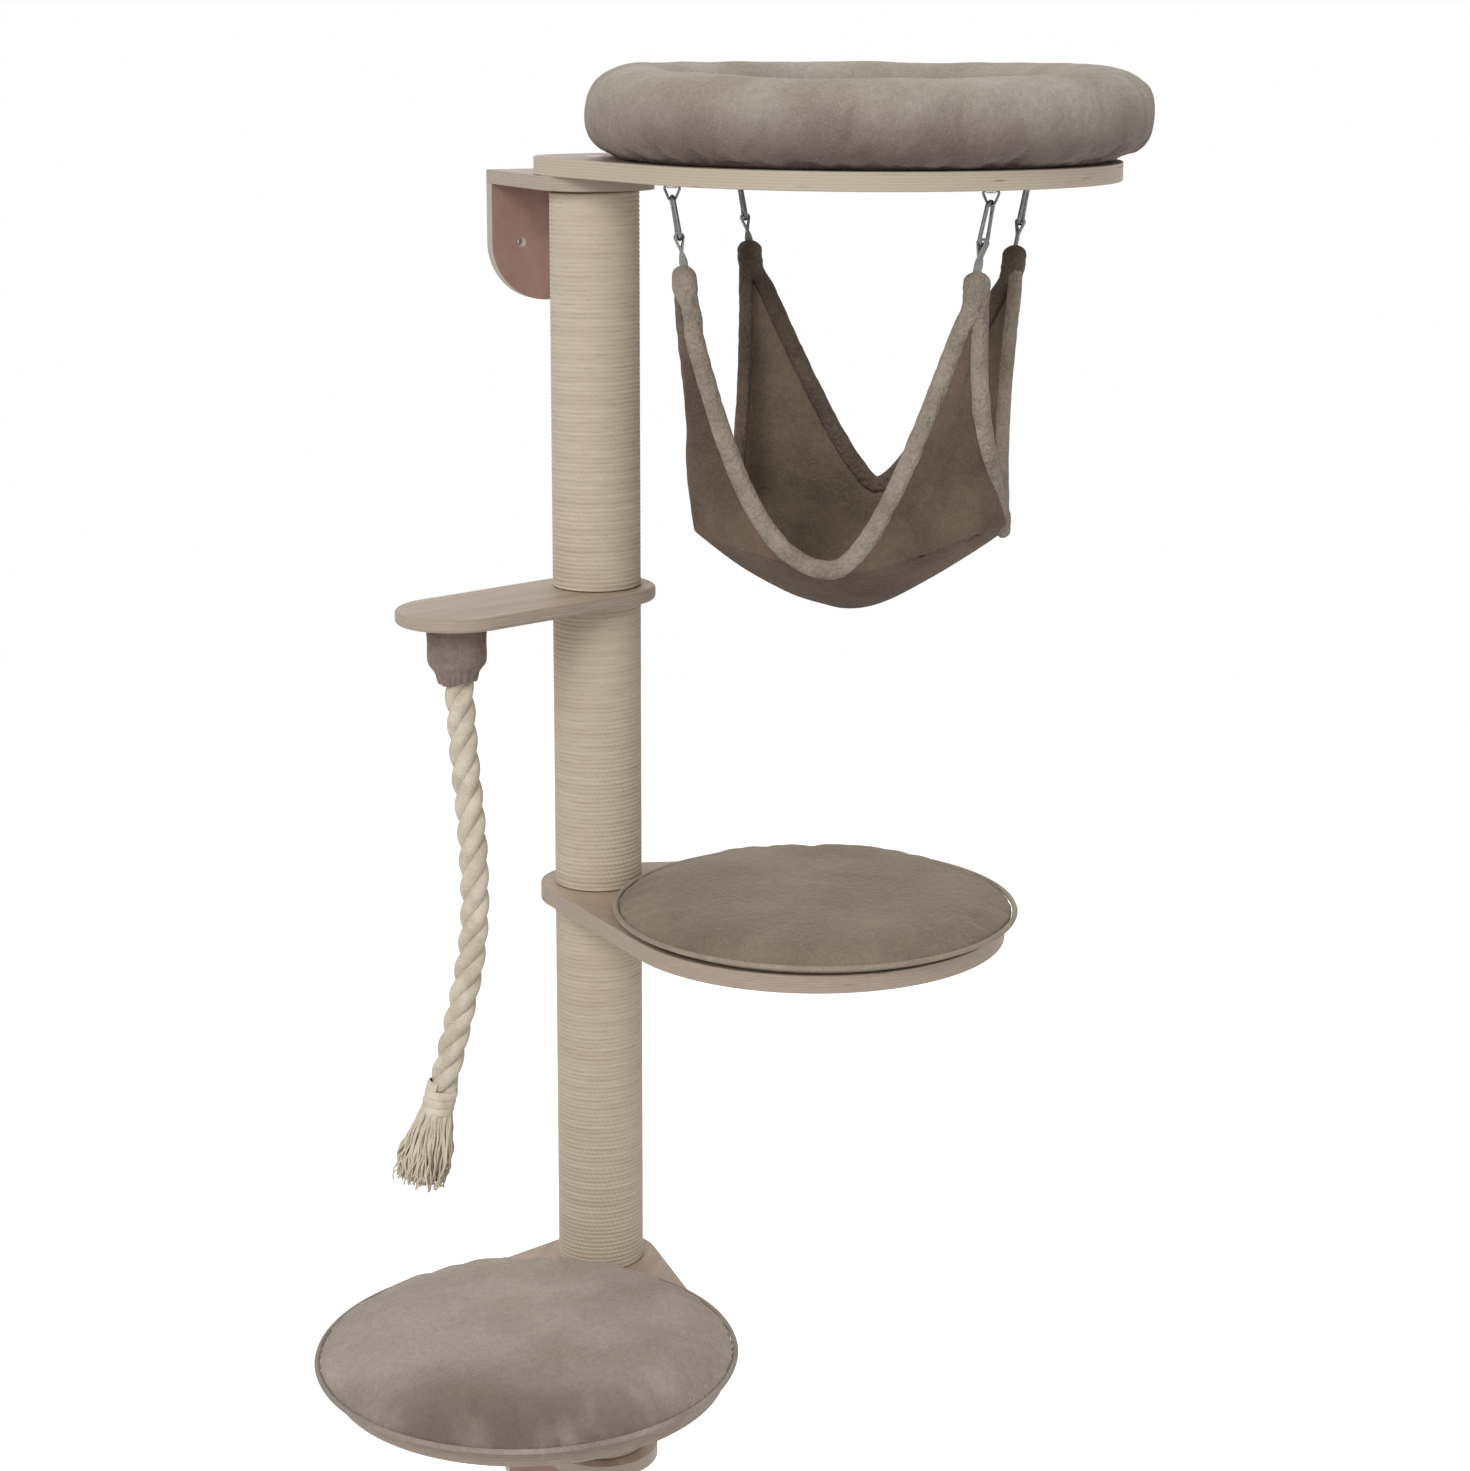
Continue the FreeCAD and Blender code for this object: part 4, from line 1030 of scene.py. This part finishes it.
def hung(u, v, z):
    """Place in the hammock's own axes, u along the top board and z up from its corners. The
    cloth's foot hangs a little askew, with its corners raised."""
    cos = math.cos(hammock_turn)
    sin = math.sin(hammock_turn)
    foot = min(1.0, max(0.0, -z / edge_drop))
    back = (v / hammock_v + 1) / 2
    near = min(1.0, abs(u) / hammock_u) * (0.5 + 0.5 * min(1.0, abs(v) / hammock_v))
    z += corner_lifts[u > 0] * near ** 1.5 * foot ** 2
    z += (1 - foot) ** 2 * back_rise * back
    askew = 1 - (1 - foot) ** 2.2
    left = askew * front_sways[0]
    right = foot ** 2.5 * front_sways[1]
    front_shift = left + (right - left) * (u / hammock_u + 1) / 2
    u += front_shift * (1 - back) + askew * (back_sway - back_narrow * u) * back
    return hammock_middle + Vector((cos * u - sin * v, sin * u + cos * v, z))


def run_share(drop, depth, power, narrow):
    """How far an edge has run from its corner to its lowest point, at a drop."""
    return max(narrow, 1 - (1 - min(drop / depth, 1.0)) ** power)


def corner_rounding(share, room):
    for (a, r_a), (b, r_b) in zip(corner_r, corner_r[1:]):
        if share <= b:
            return min(r_a + (r_b - r_a) * (share - a) / (b - a), room)
    return min(corner_r[-1][1], room)


def panel_point(side_u, side_v, across, down):
    """Point of a corner panel, across from one edge to the other, down from its corner."""
    drop = edge_drop * down
    depth = edge_drop if side_v < 0 else back_drop
    low_u = side_u * front_low_u if side_v < 0 else 0.0
    share_u = run_share(drop, depth, edge_powers[(side_u, side_v)], corner_w / hammock_u)
    share_v = run_share(drop, edge_drop, side_powers[(side_u, side_v)], corner_w / hammock_v)
    near_u = low_u + (hammock_u - low_u) * (1 - share_u)
    near_v = hammock_v * (1 - share_v)
    r = corner_rounding(down, min(hammock_u - near_u, hammock_v - near_v) - 0.0001)
    first = hammock_u - r - near_u
    bend = r * math.pi / 2
    last = hammock_v - r - near_v
    run = across * (first + bend + last)
    if run < first:
        point = Vector((near_u + run, hammock_v, 0))
    elif run < first + bend:
        angle = (run - first) / r
        point = Vector((hammock_u - r + r * math.sin(angle),
                        hammock_v - r + r * math.cos(angle), 0))
    else:
        point = Vector((hammock_u, hammock_v - r - (run - first - bend), 0))
    return Vector((point.x * side_u, point.y * side_v, -drop))


def hammock_sheet():
    """Four corner panels and the bowl below them, as one sheet."""
    verts = []
    index = {}
    faces = []

    def add(key, point):
        if key not in index:
            index[key] = len(verts)
            verts.append(hung(*point))
        return index[key]

    quadrants = ((1, 1), (1, -1), (-1, -1), (-1, 1))
    for quadrant, (side_u, side_v) in enumerate(quadrants):
        flip = side_u * side_v < 0

        def rim_key(n):
            """The rim's points are shared by neighbouring panels and the bowl."""
            step = panel_across - n if flip else n
            return ("rim", (quadrant * panel_across + step) % (4 * panel_across))

        for row in range(panel_down + 1):
            down = 1 - (1 - row / panel_down) ** 2.2
            for n in range(panel_across + 1):
                across = n / panel_across
                point = panel_point(side_u, side_v, across, down)
                if row == panel_down:
                    add(rim_key(n), point)
                    continue
                place = hung(*point)
                pull = math.sin(across * math.pi) * min(1.0, (1 - down) * 6)
                fold = 0.0022 * math.sin(across * 15 + side_u * 2 + side_v + 3 * down)
                soft = lumps(place, 0.055, 0.0042) + lumps(place, 0.022, 0.0014)
                outward = Vector((side_u, side_v, 0)).normalized()
                add((quadrant, row, n), point + outward * (soft + fold * down) * pull)
        for row in range(panel_down):
            for n in range(panel_across):
                keys = []
                for r, c in ((row, n), (row, n + 1), (row + 1, n + 1), (row + 1, n)):
                    keys.append(rim_key(c) if r == panel_down else (quadrant, r, c))
                corners = tuple(index[key] for key in keys)
                if len(set(corners)) == 4:
                    faces.append(tuple(reversed(corners)) if flip else corners)
    rim = [verts[index[("rim", n)]].copy() for n in range(4 * panel_across)]
    centre = hung(0, 0, -edge_drop)
    sway = hung(bowl_low_u, 0, -edge_drop) - centre
    before = [index[("rim", n)] for n in range(4 * panel_across)]
    for ring in range(1, bowl_rings):
        scale = 1 - ring / bowl_rings
        sink = hammock_bowl * (1 - scale ** 1.5)
        now = []
        for point in rim:
            moved = centre + (point - centre) * scale + sway * (1 - scale)
            moved.z = (centre.z + (point.z - centre.z) * scale ** 1.6 - sink
                       + lumps(moved, 0.06, 0.0040) * (1 - scale) * 2)
            now.append(len(verts))
            verts.append(moved)
        count = len(now)
        for n in range(count):
            faces.append((before[n], before[(n + 1) % count], now[(n + 1) % count], now[n]))
        before = now
    verts.append(hung(bowl_low_u, 0, -edge_drop - hammock_bowl))
    for n in range(len(before)):
        faces.append((before[n], before[(n + 1) % len(before)], len(verts) - 1))
    return verts, faces


outside = plush("hammock plush outside", (113, 96, 82), (75, 62, 53), patch=12.0, sheen=0.12)
inside = plush("hammock plush inside", (146, 133, 114), (104, 93, 78), patch=11.0, sheen=0.12)
verts, faces = hammock_sheet()
cloth = new_piece("hammock_cloth_layers", verts, faces, outside, "hammock")
cloth.data.materials.append(inside)
soft_rim = cloth.vertex_groups.new(name="soft rim")
for vertex in cloth.data.vertices:
    away = abs(vertex.co.z - (hammock_high.z - edge_drop + 0.008))
    soft_rim.add([vertex.index], max(0.0, 1 - away / 0.060), "REPLACE")
weld = cloth.modifiers.new("sewn below the back edge", "WELD")
weld.merge_threshold = 0.0004
relax = cloth.modifiers.new("relax", "SMOOTH")
relax.factor = 0.5
relax.iterations = 24
relax.vertex_group = "soft rim"
thicken = cloth.modifiers.new("two layers", "SOLIDIFY")
thicken.thickness = hammock_t
thicken.offset = 0.0
thicken.material_offset = 1
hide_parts("hammock_cloth")

# Binding: a folded strip of lighter plush sewn over each of the four edges, from corner to
# corner, with its ends closed round the webbing loops.
binding_wide = 0.0090                   # half its width, down the cloth
binding_thick = 0.0078                  # half its thickness
binding_groove = 0.16                   # depth of the stitched groove, as a share
binding_out = 0.011                     # the right one stands out in front of its corner
binding_in = 0.002
tab_drop = 0.048                        # below this the two bindings of a corner part
tab_close = 0.0070                      # how far they close up at a corner's top
tab_in = 0.0040                         # and how far they draw in
tab_rise = -0.003                       # how far they reach above the cloth
edge_rows = 120
edge_sides = 22
binding_finish = plush("hammock binding plush", (164, 152, 138), (124, 113, 100), patch=24.0,
                       curl=230.0, sheen=0.2)
# The same binding plush made darker with painted shade, for the back and left bindings and the
# back tabs.
binding_painted_shade_finish = plush("hammock binding plush in painted shade", (122, 109, 96), (86, 75, 64), patch=24.0,
                      curl=230.0, sheen=0.1)


def edge_point(edge, along):
    """Point of an edge from corner to corner, along from -1 to 1 through its lowest point."""
    end = 1 if along > 0 else -1
    depth = back_drop if edge == 1 else edge_drop
    reach = hammock_v if edge in (0, 2) else hammock_u
    if edge in (0, 2):
        power = side_powers[(1 - edge, end)]
    else:
        power = edge_powers[(end, 2 - edge)]
    drop = depth * (1 - abs(along) ** (1 / power))
    low = front_low_u if edge == 3 else 0.0
    run = low + (end * reach - low) * abs(along)
    held = math.copysign(min(abs(run), reach - corner_w), run)
    away = 0.0
    if edge == 0 and end < 0:
        proud = math.sin(math.pi * min(1.0, drop / depth))
        away = binding_in * proud
        leave = min(1.0, max(0.0, (drop - 0.015) / 0.065))
        leave *= leave * (3 - 2 * leave)
        run = held + (run - binding_out * proud - held) * leave
    else:
        run = held
    if drop < tab_drop:
        away += tab_in * (1 - drop / tab_drop) ** 2
        run += end * tab_close * (1 - drop / tab_drop)
        drop -= tab_rise * (1 - drop / tab_drop)
    if edge in (0, 2):
        return Vector(((hammock_u - away) * (1 - edge), run, -drop))
    return Vector((run, (hammock_v - away) * (2 - edge), -drop))


def edge_binding(edge):
    """A fat folded strip along an edge, with a stitched groove on each side."""
    steps = [math.copysign(1 - (1 - abs(n / 600)) ** 3, n) for n in range(-600, 601)]
    line = [hung(*edge_point(edge, step)) for step in steps]
    line = [line[0]] + [b for a, b in zip(line, line[1:]) if (b - a).length > 1e-6]
    points = evenly(line, 0.800 / edge_rows)
    across = (hung(1, 0, 0) - hung(0, 0, 0)) if edge in (0, 2) else (
        hung(0, 1, 0) - hung(0, 0, 0))
    verts = []
    last = len(points) - 1
    down = None
    for n, point in enumerate(points):
        ahead = (points[min(n + 2, last)] - points[max(n - 2, 0)]).normalized()
        normal = across.cross(ahead).normalized()
        if down is not None and normal.dot(down) < 0:
            normal = -normal
        down = normal
        end = min(n + 0.35, last - n + 0.35) / 1.6
        close = math.sqrt(max(0.05, 1 - max(0.0, 1 - end) ** 2))
        full = 1 + 0.22 * (edge == 0) * max(0.0, math.sin(math.pi * min(1.0, 2 * n / last)))
        for k in range(edge_sides):
            turn = 2 * math.pi * k / edge_sides
            tuft = Vector((k, 0, 0)) * 0.7
            rough = (1 + 0.08 * noise.noise(point * 110 + tuft)
                     + 0.07 * noise.noise(point * 330 + tuft))
            groove = 1 - binding_groove * max(0.0, abs(math.cos(turn)) - 0.86) / 0.14
            size = close * rough * groove * full
            verts.append(point + (across * math.cos(turn) * binding_thick
                                  + down * math.sin(turn) * binding_wide) * size)
    faces = []
    for n in range(last):
        for k in range(edge_sides):
            nxt = (k + 1) % edge_sides
            faces.append((n * edge_sides + k, n * edge_sides + nxt,
                          (n + 1) * edge_sides + nxt, (n + 1) * edge_sides + k))
    faces.append(tuple(reversed(range(edge_sides))))
    faces.append(tuple(range(last * edge_sides, (last + 1) * edge_sides)))
    return verts, faces


# The back and left bindings are darkened with painted shade.
for edge, name in enumerate(("right", "back", "left", "front")):
    verts, faces = edge_binding(edge)
    new_piece("hammock_binding_" + name, verts, faces,
                              binding_painted_shade_finish if name in ("back", "left") else binding_finish,
                              "hammock")

# Tab: the binding's ends closed to a rounded plush cap over each gathered corner.
cap_top = 0.0030                        # above the cloth's corner
cap_l = 0.042
cap_wide = 0.0135                       # half its width, between the two bindings
cap_thick = 0.0112                      # half its thickness
cap_rows = 30
cap_sides = 36


def tab_cap(side_u, side_v):
    """Rounded cap, drawn in at its foot so that it sinks between the two bindings."""
    wide_way = (hung(side_u, -side_v, 0) - hung(0, 0, 0)).normalized()
    out_way = (hung(side_u, side_v, 0) - hung(0, 0, 0)).normalized()
    verts = []
    for row in range(cap_rows + 1):
        share = (row / cap_rows) ** 1.5
        dome = math.sqrt(max(0.01, 1 - max(0.0, 1 - share / 0.26) ** 2))
        tuck = 1 - 0.5 * max(0.0, (share - 0.55) / 0.45) ** 1.5
        z = cap_top - cap_l * share
        centre = hung(side_u * (hammock_u - 0.0050), side_v * (hammock_v - 0.0050), z)
        for k in range(cap_sides):
            turn = 2 * math.pi * k / cap_sides
            seam = 1 - 0.10 * max(0.0, abs(math.sin(turn)) - 0.9) / 0.1
            way = wide_way * math.cos(turn) * cap_wide + out_way * math.sin(turn) * cap_thick
            tuft = centre + way
            rough = 1 + 0.07 * noise.noise(tuft * 110) + 0.05 * noise.noise(tuft * 330)
            verts.append(centre + way * dome * tuck * seam * rough)
    faces = []
    for row in range(cap_rows):
        for k in range(cap_sides):
            nxt = (k + 1) % cap_sides
            faces.append((row * cap_sides + k, (row + 1) * cap_sides + k,
                          (row + 1) * cap_sides + nxt, row * cap_sides + nxt))
    faces.append(tuple(range(cap_sides)))
    faces.append(tuple(reversed(range(cap_rows * cap_sides, (cap_rows + 1) * cap_sides))))
    return verts, faces


# The back tabs are darkened with painted shade.
for side_v, name, finish in ((-1, "front", binding_finish), (1, "back", binding_painted_shade_finish)):
    verts, faces = joined([tab_cap(side_u, side_v) for side_u in (-1, 1)])
    new_piece("hammock_tabs_" + name, verts, faces, finish, "hammock")


def webbing():
    """Flat polyester webbing, plain weave."""
    material, tree, shader = new_finish("grey webbing", 0.75)
    place = own_place(tree)
    ribs = node(tree, "TexWave", {"bands_direction": "Z"}, Vector=place, Scale=160.0,
                Distortion=0.6).outputs[0]
    fine = grained(tree, place, 1400.0, 3.0)
    colour = mixed(tree, ribs, srgb(128, 126, 124), srgb(158, 156, 153))
    tree.links.new(mixed(tree, maths(tree, "MULTIPLY", fine, 0.3), colour,
                         srgb(110, 108, 106)), shader.inputs["Base Color"])
    bumped(tree, shader, ribs, 0.5, 0.0004)
    return material


coat(["hammock_loops"], webbing())

# ---------------------------------------------------------------- rope holder
# A plush sleeve glued round the wooden block under the step shelf and gathered to the rope.
sleeve_rounds = 150
sleeve_low, sleeve_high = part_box("anchor_cover")
sleeve_r = (sleeve_high.x - sleeve_low.x) / 2
sleeve_h = sleeve_high.z - sleeve_low.z
sleeve_profile = ((1.0, 0.0), (1.0, 0.15), (0.985, 0.35), (0.995, 0.55), (0.975, 0.65),
                  (0.94, 0.70), (0.85, 0.75), (0.76, 0.80), (0.71, 0.86), (0.69, 0.93),
                  (0.65, 1.0), (0.60, 1.01), (0.575, 0.95), (0.565, 0.88))
sleeve_middle = Vector((rope_top.x, rope_top.y, sleeve_high.z))
verts = []
for n in range(sleeve_rounds):
    angle = 2 * math.pi * n / sleeve_rounds
    radial = Vector((math.cos(angle), math.sin(angle), 0))
    for wide, down in sleeve_profile:
        gather = max(0.0, (down - 0.66) / 0.34)
        pucker = 1 + gather * 0.055 * math.sin(17 * angle + 2.2 * math.sin(3 * angle))
        droop = 1 + gather * 0.03 * math.sin(2 * angle + 0.8)
        point = (sleeve_middle + radial * sleeve_r * wide * pucker
                 - Vector((0, 0, sleeve_h * down * droop)))
        verts.append(point + radial * (lumps(point, 0.016, 0.0010) - 0.0006))
faces = []
wide = len(sleeve_profile)
for n in range(sleeve_rounds):
    for k in range(wide - 1):
        a = n * wide + k
        b = (n + 1) % sleeve_rounds * wide + k
        faces.append((a, a + 1, b + 1, b))
sleeve = new_piece("rope_holder_sleeve", verts, faces,
                   plush("holder plush", (146, 130, 121), (104, 89, 81), patch=26.0),
                   "root")
subdivide = sleeve.modifiers.new("smooth", "SUBSURF")
subdivide.levels = 1
subdivide.render_levels = 1
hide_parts("anchor_cover")
